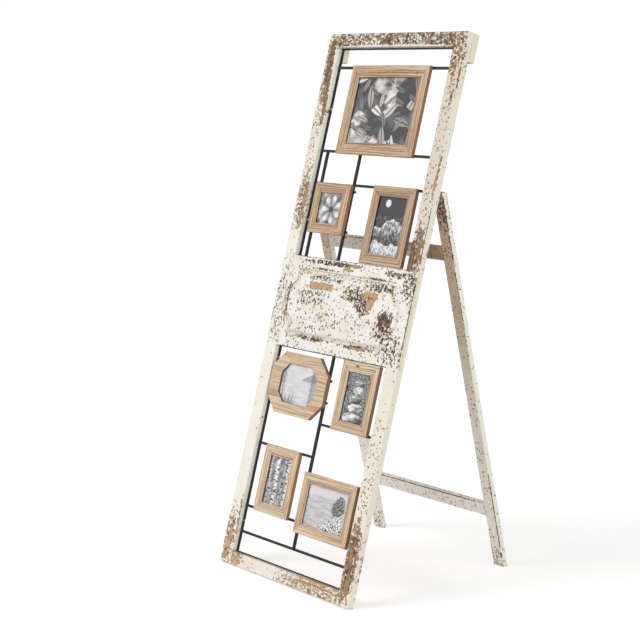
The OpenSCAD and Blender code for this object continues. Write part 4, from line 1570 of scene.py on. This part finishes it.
class PaintedFrame(Timbers):
    """The frame's timbers: stiles, rails, routed panel and spacer blocks."""

    def paintwork(self) -> Paintwork:
        """Lists the looks of each timber.

        Returns:
            Its finish, its worn places and its bare places by node.
        """
        warm = ChippedPaint(front=display(240, 233, 218), clean=display(243, 237, 225),
                            side=display(247, 243, 224), upper_coat=display(227, 215, 199),
                            upper_from=0.9, upper_to=1.15, wear=0.03, specks=0.14, darkness=0.4)
        cool = ChippedPaint(front=display(246, 242, 228), clean=display(248, 245, 236),
                            side=display(242, 239, 224), upper_coat=display(238, 231, 217),
                            upper_from=1.0, upper_to=1.3, wear=0.0, specks=0.05,
                            brown=display(176, 147, 116), darkness=0.38)
        rubbed = ChippedPaint(brown=display(160, 130, 102), dark=display(80, 60, 46), wear=0.58,
                              specks=0.3, edge_wear=0.1, flake=8.0, stretch=(1.3, 1.0, 1.0),
                              darkness=0.48)
        foot = ChippedPaint(brown=display(188, 156, 122), dark=display(128, 102, 76), wear=0.04,
                            specks=0.16, flake=6.5, stretch=(2.2, 1.0, 1.0), darkness=0.3)
        panel = ChippedPaint(front=display(243, 237, 224), clean=display(248, 245, 240), wear=0.1,
                             specks=0.34, edge_wear=0.35, flake=10.0, chip=6.5, darkness=0.7)
        block = ChippedPaint(front=display(244, 240, 216), side=display(242, 238, 210),
                             clean=display(242, 240, 220), wear=-0.3, specks=-1.0, edge_wear=0.2)
        return {
            "left_stile": (cool, (
                Worn(-266, 1465, 20, 120, 0.57, 0.4), Worn(-252, 1548, 40, 24, 0.55, 0.3),
                Worn(-266, 1300, 22, 70, 0.3, 0.7), Worn(-264, 1200, 26, 120, 0.14, 0.5),
                Worn(-258, 1075, 25, 95, 0.53, 0.8), Worn(-262, 420, 40, 220, -0.3),
                Worn(-264, 70, 26, 90, 0.53, 0.5), Worn(-242, 150, 5, 60, 0.56)), (
                Bare(-262, 1490, 11, 62, 0.3, 0.95), Bare(-254, 1420, 10, 50, 0.3, 0.85),
                Bare(-247, 1350, 8, 46, 0.3, 0.75), Bare(-249, 1085, 7, 44, 0.2, 0.35),
                Bare(-248, 1025, 6, 30, 0.2, 0.3), Bare(-262, 74, 9, 34, 0.2, 0.1),
                Bare(-268, 22, 11, 14, 0.2, 0.2))),
            "right_stile": (warm, (
                Worn(256, 1520, 28, 74, 0.53, 0.6), Worn(262, 1415, 18, 66, 0.3, 0.6),
                Worn(283, 1480, 4, 90, 0.6, 0.5), Worn(271, 1400, 4, 45, 0.56),
                Worn(264, 1310, 24, 110, 0.12, 0.6), Worn(282, 1195, 4, 60, 0.54, 0.5),
                Worn(264, 1080, 26, 90, 0.12, 0.6), Worn(262, 965, 26, 80, 0.6, 0.5),
                Worn(284, 1010, 7, 90, 0.75, 0.0, True), Worn(264, 340, 26, 160, 0.16, 0.7),
                Worn(260, 115, 28, 118, 0.67, 0.4)), (
                Bare(246, 938, 12, 56, 0.4, 0.95), Bare(272, 985, 7, 44, 0.2, 0.6),
                Bare(279, 1150, 4, 34, 0.2, 0.2), Bare(257, 140, 9, 40, 0.2, 0.6),
                Bare(264, 62, 10, 28, 0.1, 0.5))),
            "top_rail": (rubbed, (Worn(0, 1536, 260, 4, -0.2),), ()),
            "bottom_rail": (foot, (
                Worn(-218, 24, 34, 30, 0.56), Worn(140, 16, 165, 30, 0.53, 0.3)), (
                Bare(-222, 18, 20, 8, 0.2, 0.1), Bare(130, 26, 70, 3, 0.2, 0.6))),
            "centre_panel": (panel, (
                Worn(-99, 858, 54, 8, 0.54, 0.5), Worn(-125, 800, 70, 28, 0.42, 0.6),
                Worn(-25, 858, 22, 5, 0.56), Worn(48, 826, 46, 26, 0.54, 0.5),
                Worn(150, 856, 62, 13, 0.54, 0.5), Worn(94, 800, 40, 26, 0.58, 0.4),
                Worn(196, 766, 32, 28, 0.7), Worn(190, 736, 40, 30, 0.5, 0.5),
                Worn(-80, 733, 95, 34, 0.3, 0.6), Worn(50, 750, 90, 34, 0.26, 0.6),
                Worn(-85, 684, 80, 7, 0.58, 0.5), Worn(100, 684, 70, 7, 0.6, 0.5),
                Worn(240, 692, 42, 42, 0.46, 0.5), Worn(-60, 905, 120, 7, 0.62, 0.5),
                Worn(205, 898, 52, 9, 0.58), Worn(-85, 885, 60, 3, 0.62),
                Worn(135, 880, 45, 3, 0.62), Worn(-262, 800, 26, 95, 0.3, 0.8),
                Worn(-255, 715, 36, 60, 0.26, 0.8), Worn(-229, 785, 6, 62, 0.6),
                Worn(262, 872, 26, 44, 0.52, 0.6), Worn(284, 775, 7, 110, 0.8, 0.0, True),
                Worn(0, 780, 60, 24, -0.2)), (
                Bare(-98, 836, 50, 10, 0.85), Bare(118, 830, 34, 11, 0.4),
                Bare(120, 808, 16, 20, 0.2), Bare(32, 905, 20, 5, 0.0, 0.2),
                Bare(6, 893, 20, 5, 0.0, 0.1), Bare(110, 681, 44, 4, 0.2, 0.3),
                Bare(200, 899, 30, 2.6, 0.2, 0.4))),
            "left_spacer_block": (block, (), ()),
            "right_spacer_block": (block, (), ()),
        }


class EaselLegs(Timbers):
    """The hinged legs with their rails, greyer and darker towards the top."""

    def paintwork(self) -> Paintwork:
        """Lists the looks of each timber.

        Returns:
            Its finish, its worn places and its bare places by node.
        """
        # The legs' coats are lighter than the frame's: painted light that makes up for the light
        # the frame keeps off them.
        beige = ChippedPaint(front=display(250, 240, 224), clean=display(254, 247, 235),
                             side=display(250, 248, 232), upper_coat=display(219, 195, 166),
                             slope_shade=display(226, 216, 206), upper_from=0.46, upper_to=0.88,
                             wear=0.08, specks=0.24, brown=display(140, 112, 84),
                             dark=display(72, 50, 32), flake=8.0, chip=5.5, darkness=0.68,
                             edge_wear=0.42)
        worn = (Worn(0, 1075, 400, 75, 0.5, 0.8), Worn(0, 960, 400, 90, 0.22, 0.6),
                Worn(0, 760, 400, 90, 0.16, 0.4), Worn(0, 30, 400, 52, 0.38, 0.85),
                Worn(242, 600, 6, 420, 0.7, 0.0, True), Worn(280, 165, 6, 120, 0.9, 0.0, True),
                Worn(280, 900, 6, 200, 0.6, 0.0, True))
        # The rails' coats are lighter still: painted light for the shade of the frame and panel
        # over them.
        rail_with_painted_light = replace(beige, front=display(250, 243, 234), clean=display(252, 246, 238),
                       slope_shade=display(234, 226, 222), wear=-0.02, specks=0.3)
        return {
            "left_leg": (beige, worn, ()),
            "right_leg": (beige, worn, ()),
            "upper_leg_rail": (replace(rail_with_painted_light, front=display(252, 246, 234), upper_from=4.0,
                                       upper_to=5.0, tan=display(206, 186, 156),
                                       brown=display(136, 116, 92)), (
                Worn(60, 970, 200, 7, 0.75, 0.4, True), Worn(150, 950, 110, 30, 0.2, 0.6)), (
                Bare(226, 950, 76, 36, 0.55, 0.0),)),
            "lower_leg_rail": (replace(rail_with_painted_light, darkness=0.45), (
                Worn(-60, 197, 180, 7, 0.9, 0.0, True), Worn(110, 197, 90, 7, 0.7, 0.0, True)), ()),
        }


@dataclass
class MetalGrid(Assembly):
    """One welded grid of strips and rods.

    Attributes:
        name: Its node.
    """

    name: str

    def dress(self) -> None:
        """Enamels the grid."""
        enamel = BlackEnamel().make(self.name + "_enamel", self.effects, self.plane)
        dress(self.nodes[self.name], enamel)
        LOG.info("enamelled %s", self.name)


@dataclass
class PhotoFrame(Assembly):
    """One small photo frame with glass, print, board and turn buttons.

    Attributes:
        name: Start of its nodes' names.
        art: Its print.
        pine: Its wood.
        lip: How far the moulding laps over the print, in millimetres.
    """

    name: str
    art: GreyPrint
    pine: WaxedPine
    lip: float = 6.0

    def corner(self, piece: Piece, middle: Vector) -> float:
        """Measures how far a piece reaches into its corners.

        Args:
            piece: The piece's object.
            middle: The frame's middle in its plane.

        Returns:
            The largest sum of the distances across and up.
        """
        places = [self.plane.local(v.co) - middle for v in piece.data.vertices]
        return max(abs(p.x) + abs(p.z) for p in places)

    def dress(self, glass: Material, board: Material, steel: Material) -> None:
        """Finishes every piece of the frame.

        Args:
            glass: The glass of all frames.
            board: The hardboard of all frames.
            steel: The steel of the turn buttons.
        """
        moulding = self.nodes[self.name + "_frame_moulding"]
        sheet = self.nodes[self.name + "_frame_print"]
        middle, half = self.plane.box(moulding)
        shown = self.plane.box(sheet)
        lip = self.lip * MM
        outer = (half.x, half.z, self.corner(moulding, middle))
        sight = (shown[1].x - lip, shown[1].z - lip,
                 self.corner(sheet, middle) - lip * math.sqrt(2))
        wood = self.pine.make(self.name + "_pine", self.effects, self.plane, middle, outer, sight)
        dress(moulding, wood)
        dress(sheet, self.art.make(self.name + "_print", self.effects, self.plane, shown))
        dress(self.nodes[self.name + "_frame_glass"], glass)
        dress(self.nodes[self.name + "_frame_backing"], board)
        for side in ("left", "right"):
            dress(self.nodes[f"{self.name}_frame_{side}_button"], steel)
        LOG.info("finished %s_frame", self.name)


@dataclass
class Screws:
    """Wood screws with domed heads and cross slots, where the solid model has plain ones.

    Attributes:
        name: The node of the plain screws.
        body: The body that they ride on.
        axes: The ways that a screw may point.
        nodes: The nodes by name.
        sides: Sides of a round form.
        rings: Rings of a dome.
        rim_share: Straight share of a head's height.
        slot_share: Reach of the slot's arms as a share of the head's radius.
        arm_share: Half width of an arm as a share of the head's radius.
        slot_floor: Height of the slot's floor as a share of the head's height.
        slot_top: Where the cutting form ends, in the same measure.
        slot_taper: Width of the slot's floor as a share of its mouth.
        tip_share: Radius of the shank's tip as a share of the shank's radius.
        crease: Angle in degrees from which an edge stays sharp.
    """

    name: str
    body: str
    axes: tuple[Vector, ...]
    nodes: dict[str, Piece]
    sides: int = 24
    rings: int = 5
    rim_share: float = 0.3
    slot_share: float = 0.62
    arm_share: float = 0.13
    slot_floor: float = 0.35
    slot_top: float = 1.5
    slot_taper: float = 0.8
    tip_share: float = 0.35
    crease: float = 35.0

    def loose_parts(self) -> list[list[Vector]]:
        """Splits the plain screws into the points of each screw.

        Returns:
            One list of points for each screw.
        """
        shape = bmesh.new()
        shape.from_mesh(self.nodes[self.name].data)
        bmesh.ops.remove_doubles(shape, verts=shape.verts, dist=0.001 * MM)
        left = set(shape.verts)
        parts = []
        for start in list(shape.verts):
            if start not in left:
                continue
            left.discard(start)
            found = [start]
            for point in found:
                for edge in point.link_edges:
                    other = edge.other_vert(point)
                    if other in left:
                        left.discard(other)
                        found.append(other)
            parts.append([point.co.copy() for point in found])
        shape.free()
        return parts

    def section(self, points: list[Vector], axis: Vector) -> tuple[Vector, list[float]]:
        """Measures points round an axis.

        Args:
            points: The points.
            axis: The axis's direction.

        Returns:
            A point in the middle of their section, and each point's distance from the axis there.
        """
        first = points[0]
        offs = [p - first - axis * (p - first).dot(axis) for p in points]
        one = axis.orthogonal().normalized()
        two = axis.cross(one)
        middle = Vector()
        for way in (one, two):
            far = [o.dot(way) for o in offs]
            middle += way * (min(far) + max(far)) / 2
        return first + middle, [(o - middle).length for o in offs]

    def seat(self, points: list[Vector]) -> tuple[Matrix, tuple[float, float, float, float]]:
        """Reads how one screw lies and how large it is.

        Args:
            points: The screw's points.

        Returns:
            Its frame, with z out of the head and its origin under the head; and its head's
            radius and height and its shank's radius and length.
        """
        axis = min(self.axes, key=lambda way: max(self.section(points, way)[1]))
        centre, reach = self.section(points, axis)
        head = max(reach)
        along = [(p - centre).dot(axis) for p in points]
        brim = [a for a, r in zip(along, reach) if r > 0.95 * head]
        if sum(brim) / len(brim) < (min(along) + max(along)) / 2:
            axis = -axis
            along = [-a for a in along]
            brim = [-a for a in brim]
        under = min(brim)
        shank = max(r for a, r in zip(along, reach) if a < under - 0.1 * MM)
        turn = axis.to_track_quat("Z", "Y").to_matrix().to_4x4()
        turn.translation = centre + axis * under
        return turn, (head, max(along) - under, shank, under - min(along))

    def turned(self, outline: list[tuple[float, float]]) -> Piece:
        """Turns an outline into a closed form.

        Args:
            outline: Its radii and heights, from the axis back to the axis.

        Returns:
            The form.
        """
        form = bmesh.new()
        steps = [math.tau * i / self.sides for i in range(self.sides)]
        rows = [[form.verts.new((radius * math.cos(a), radius * math.sin(a), height))
                 for a in steps] for radius, height in outline[1:-1]]
        tip = form.verts.new((0.0, 0.0, outline[0][1]))
        top = form.verts.new((0.0, 0.0, outline[-1][1]))
        for i in range(self.sides):
            j = (i + 1) % self.sides
            form.faces.new((tip, rows[0][j], rows[0][i]))
            form.faces.new((top, rows[-1][i], rows[-1][j]))
            for low, high in zip(rows, rows[1:]):
                form.faces.new((low[i], low[j], high[j], high[i]))
        return put_form("turned", form)

    def cross(self, head: float, height: float) -> Piece:
        """Builds the form that cuts a cross slot.

        Args:
            head: The head's radius.
            height: The head's height.

        Returns:
            The form.
        """
        long = head * self.slot_share
        half = head * self.arm_share
        corners = [(x * cos - y * sin, x * sin + y * cos)
                   for cos, sin in ((1, 0), (0, 1), (-1, 0), (0, -1))
                   for x, y in ((long, -half), (long, half), (half, half))]
        form = bmesh.new()
        low = [form.verts.new((x * self.slot_taper, y * self.slot_taper, self.slot_floor * height))
               for x, y in corners]
        high = [form.verts.new((x, y, self.slot_top * height)) for x, y in corners]
        form.faces.new(low[::-1])
        form.faces.new(high)
        for i in range(len(corners)):
            j = (i + 1) % len(corners)
            form.faces.new((low[i], low[j], high[j], high[i]))
        return put_form("cross", form)

    def one(self, size: tuple[float, float, float, float]) -> bpy.types.Mesh:
        """Builds one screw, with its head above z = 0.

        Args:
            size: Its head's radius and height and its shank's radius and length.

        Returns:
            Its mesh.
        """
        head, height, shank, bite = size
        outline = [(0.0, -bite), (self.tip_share * shank, -bite), (shank, 2 * shank - bite),
                   (shank, 0.0), (head, 0.0)]
        for i in range(self.rings):
            angle = math.pi / 2 * i / self.rings
            risen = self.rim_share + (1 - self.rim_share) * math.sin(angle)
            outline.append((head * math.cos(angle), height * risen))
        outline.append((0.0, height))
        blank = self.turned(outline)
        cutter = self.cross(head, height)
        carve = blank.modifiers.new("slot", "BOOLEAN")
        carve.operation = "DIFFERENCE"
        carve.solver = "EXACT"
        carve.object = cutter
        ready = blank.evaluated_get(bpy.context.evaluated_depsgraph_get())
        made = bpy.data.meshes.new_from_object(ready)
        bpy.data.objects.remove(blank)
        bpy.data.objects.remove(cutter)
        return made

    def build(self, slot: str, steel: Material) -> None:
        """Builds the slotted screws and hides the plain ones.

        Args:
            slot: Not used.
            steel: Their steel.
        """
        whole = bmesh.new()
        patterns = {}
        for points in self.loose_parts():
            turn, size = self.seat(points)
            key = tuple(round(s, 5) for s in size)
            if key not in patterns:
                patterns[key] = self.one(size)
            copy = patterns[key].copy()
            copy.transform(turn)
            whole.from_mesh(copy)
            bpy.data.meshes.remove(copy)
        piece = put_form("slotted_" + self.name, whole)
        for face in piece.data.polygons:
            face.use_smooth = True
        piece.data.set_sharp_from_angle(angle=math.radians(self.crease))
        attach(piece, self.body)
        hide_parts(self.name)
        dress(piece, steel)
        LOG.info("built %s in %d sizes", piece.name, len(patterns))


@dataclass(frozen=True)
class Lamp:
    """A wide, soft lamp that lights the whole floor evenly.

    Attributes:
        name: Its name.
        at: Its place; only the direction to the middle of the object counts.
        width: How wide it looks, in degrees.
        power: Its strength.
        colour: Its colour.
        aim: Height of the middle of the object, in metres.
    """

    name: str
    at: tuple[float, float, float]
    width: float
    power: float
    colour: tuple[float, float, float] = (1.0, 1.0, 0.985)
    aim: float = 0.75

    def build(self) -> None:
        """Sets the lamp up."""
        data = bpy.data.lights.new(self.name, "SUN")
        data.angle = math.radians(self.width)
        data.energy = self.power
        data.color = self.colour
        lamp = put(self.name, data)
        lamp.location = self.at
        ray = Vector((0.0, 0.0, self.aim)) - Vector(self.at)
        lamp.rotation_euler = ray.to_track_quat("-Z", "Y").to_euler()


@dataclass(frozen=True)
class Studio:
    """Camera, lamps, floor and background.

    Attributes:
        camera_at: The camera's place.
        look_down: How far it looks down, in degrees.
        turn: How far it is turned to the left of straight ahead, in degrees.
        focal_share: Its focal length as a share of the sensor's width.
        sensor: The sensor's width in millimetres.
        floor_size: The floor's width in metres.
        paper: How much light the floor gives back.
        glow: The floor's own light as the camera sees it.
        ambient: Strength of the light from all sides.
    """

    camera_at: tuple[float, float, float] = (3.4469, -3.0291, 1.4317)
    look_down: float = 8.85
    turn: float = 50.277
    focal_share: float = 1634.8 / 640
    sensor: float = 36.0
    floor_size: float = 60.0
    paper: float = 0.8
    glow: float = 0.5
    ambient: float = 0.34

    def camera(self) -> None:
        """Sets up the camera."""
        data = bpy.data.cameras.new("camera")
        data.sensor_width = self.sensor
        data.lens = self.focal_share * self.sensor
        data.dof.use_dof = False
        camera = put("camera", data)
        camera.location = self.camera_at
        camera.rotation_euler = (math.radians(90 - self.look_down), 0.0, math.radians(self.turn))
        bpy.context.scene.camera = camera

    def lamps(self) -> tuple[Lamp, ...]:
        """Lists the lamps.

        Returns:
            The lamps; the front one stands at the camera.
        """
        return (Lamp("key", (-1.8, -4.0, 3.6), 34.0, 1.22, (1.0, 0.99, 0.97)),
                Lamp("fill", (4.2, -0.6, 2.4), 70.0, 0.82),
                Lamp("front", self.camera_at, 50.0, 0.82))

    def floor(self) -> None:
        """Lays a pale floor that keeps the shadow and fades to white."""
        form = bmesh.new()
        half = self.floor_size / 2
        form.faces.new([form.verts.new((x * half, y * half, 0.0))
                        for x, y in ((-1, -1), (1, -1), (1, 1), (-1, 1))])
        floor = put_form("floor", form)
        tree, shader, material = start_material("floor_paper")
        tree.fill(shader, {"Base Color": (self.paper, self.paper, self.paper, 1.0),
                           "Roughness": 0.9, "Specular IOR Level": 0.0, "Emission Color": WHITE,
                           "Emission Strength": tree.times(tree.eye_rays(), self.glow)})
        dress(floor, material)

    def world(self) -> None:
        """Lights the studio softly and shows it white."""
        world = bpy.data.worlds.new("studio")
        bpy.context.scene.world = world
        world.use_nodes = True
        world.node_tree.nodes.clear()
        tree = Tree(world.node_tree)
        background = tree.add("ShaderNodeBackground")
        strength = tree.ramp(tree.eye_rays(), 0.0, 1.0, self.ambient, 1.0)
        tree.fill(background, {"Color": WHITE, "Strength": strength})
        out = tree.add("ShaderNodeOutputWorld")
        tree.feed(out.inputs["Surface"], background.outputs[0])

    def build(self) -> None:
        """Builds the whole studio."""
        self.camera()
        for lamp in self.lamps():
            lamp.build()
        self.floor()
        self.world()
        bpy.context.scene.view_settings.view_transform = "Standard"


def pines() -> dict[str, WaxedPine]:
    """Lists the woods of the small frames.

    Returns:
        The pine by the name of its frame.
    """
    # The dark outer sides are stain with painted shade.
    stain_and_shade_edge = display(92, 58, 36)
    pale = WaxedPine(light=display(232, 209, 180), middle=display(209, 181, 149),
                     dark=display(170, 140, 108), tone=1.06)
    return {
        "big": WaxedPine(seed=1.0, tone=0.94, flat_share=0.54),
        "square": WaxedPine(seed=2.0, tone=0.96, flat_share=0.72),
        "portrait": WaxedPine(seed=3.0, tone=0.82, edge=display(64, 38, 22)),
        "octagon": replace(pale, seed=4.0, tone=1.04, level_grain=True, wall_from=0.4,
                           edge=stain_and_shade_edge),
        "slim": replace(pale, seed=5.0, edge=stain_and_shade_edge, flat_share=0.6),
        "tall": replace(pale, seed=6.0),
        "landscape": replace(pale, seed=7.0, edge=stain_and_shade_edge, flat_share=0.76),
    }


def prints() -> dict[str, GreyPrint]:
    """Lists the prints of the small frames.

    Returns:
        The print by the name of its frame.
    """
    return {
        "big": GreyPrint(Motif.LEAVES, 0.6, 1.45, white=display(238, 234, 232)),
        "square": GreyPrint(Motif.BLOSSOM, 0.66, 1.45),
        "portrait": GreyPrint(Motif.HILLS, 0.52, 1.65),
        "octagon": GreyPrint(Motif.BAY, 0.74, 0.8),
        "slim": GreyPrint(Motif.STONES, 0.7, 1.25),
        "tall": GreyPrint(Motif.TRUNKS, 0.74, 1.3),
        "landscape": GreyPrint(Motif.SHORE, 0.71, 1.15),
    }


def main() -> None:
    """Builds every sub-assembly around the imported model."""
    logging.basicConfig(level=logging.INFO, format="%(name)s: %(message)s")
    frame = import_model()
    nodes = frame["nodes"]
    effects = Effects()
    face = Plane.of(nodes["left_stile"])
    leg_face = Plane.of(nodes["left_leg"])
    LOG.info("the frame leans %.2f degrees and the legs %.2f", math.degrees(face.lean),
             math.degrees(leg_face.lean))
    PaintedFrame(face, effects, nodes).dress()
    EaselLegs(leg_face, effects, nodes).dress()
    for name in ("upper_grid", "lower_grid"):
        MetalGrid(face, effects, nodes, name).dress()
    glass = PictureGlass().make("picture_glass")
    board = Hardboard().make("hardboard", effects, face)
    steel = PlainSteel().make("plated_steel", effects, face)
    worn_steel = PlainSteel(bright=display(150, 146, 138), dull=display(104, 98, 92), rough=0.45)
    hinge_steel = worn_steel.make("hinge_steel", effects, face)
    woods = pines()
    for name, art in prints().items():
        PhotoFrame(face, effects, nodes, name, art, woods[name]).dress(glass, board, steel)
    axes = (face.back(), Vector((1, 0, 0)), Vector((0, 0, 1)), leg_face.back())
    for name, body in (("frame_screws", "frame"), ("leg_screws", "easel_legs")):
        Screws(name, body, axes, nodes).build("plated_steel", steel)
    for name in ("hinge_frame_leaves", "hinge_leg_leaves", "hinge_pins"):
        dress(nodes[name], hinge_steel)
    Studio().build()


if __name__ == "__main__":
    main()
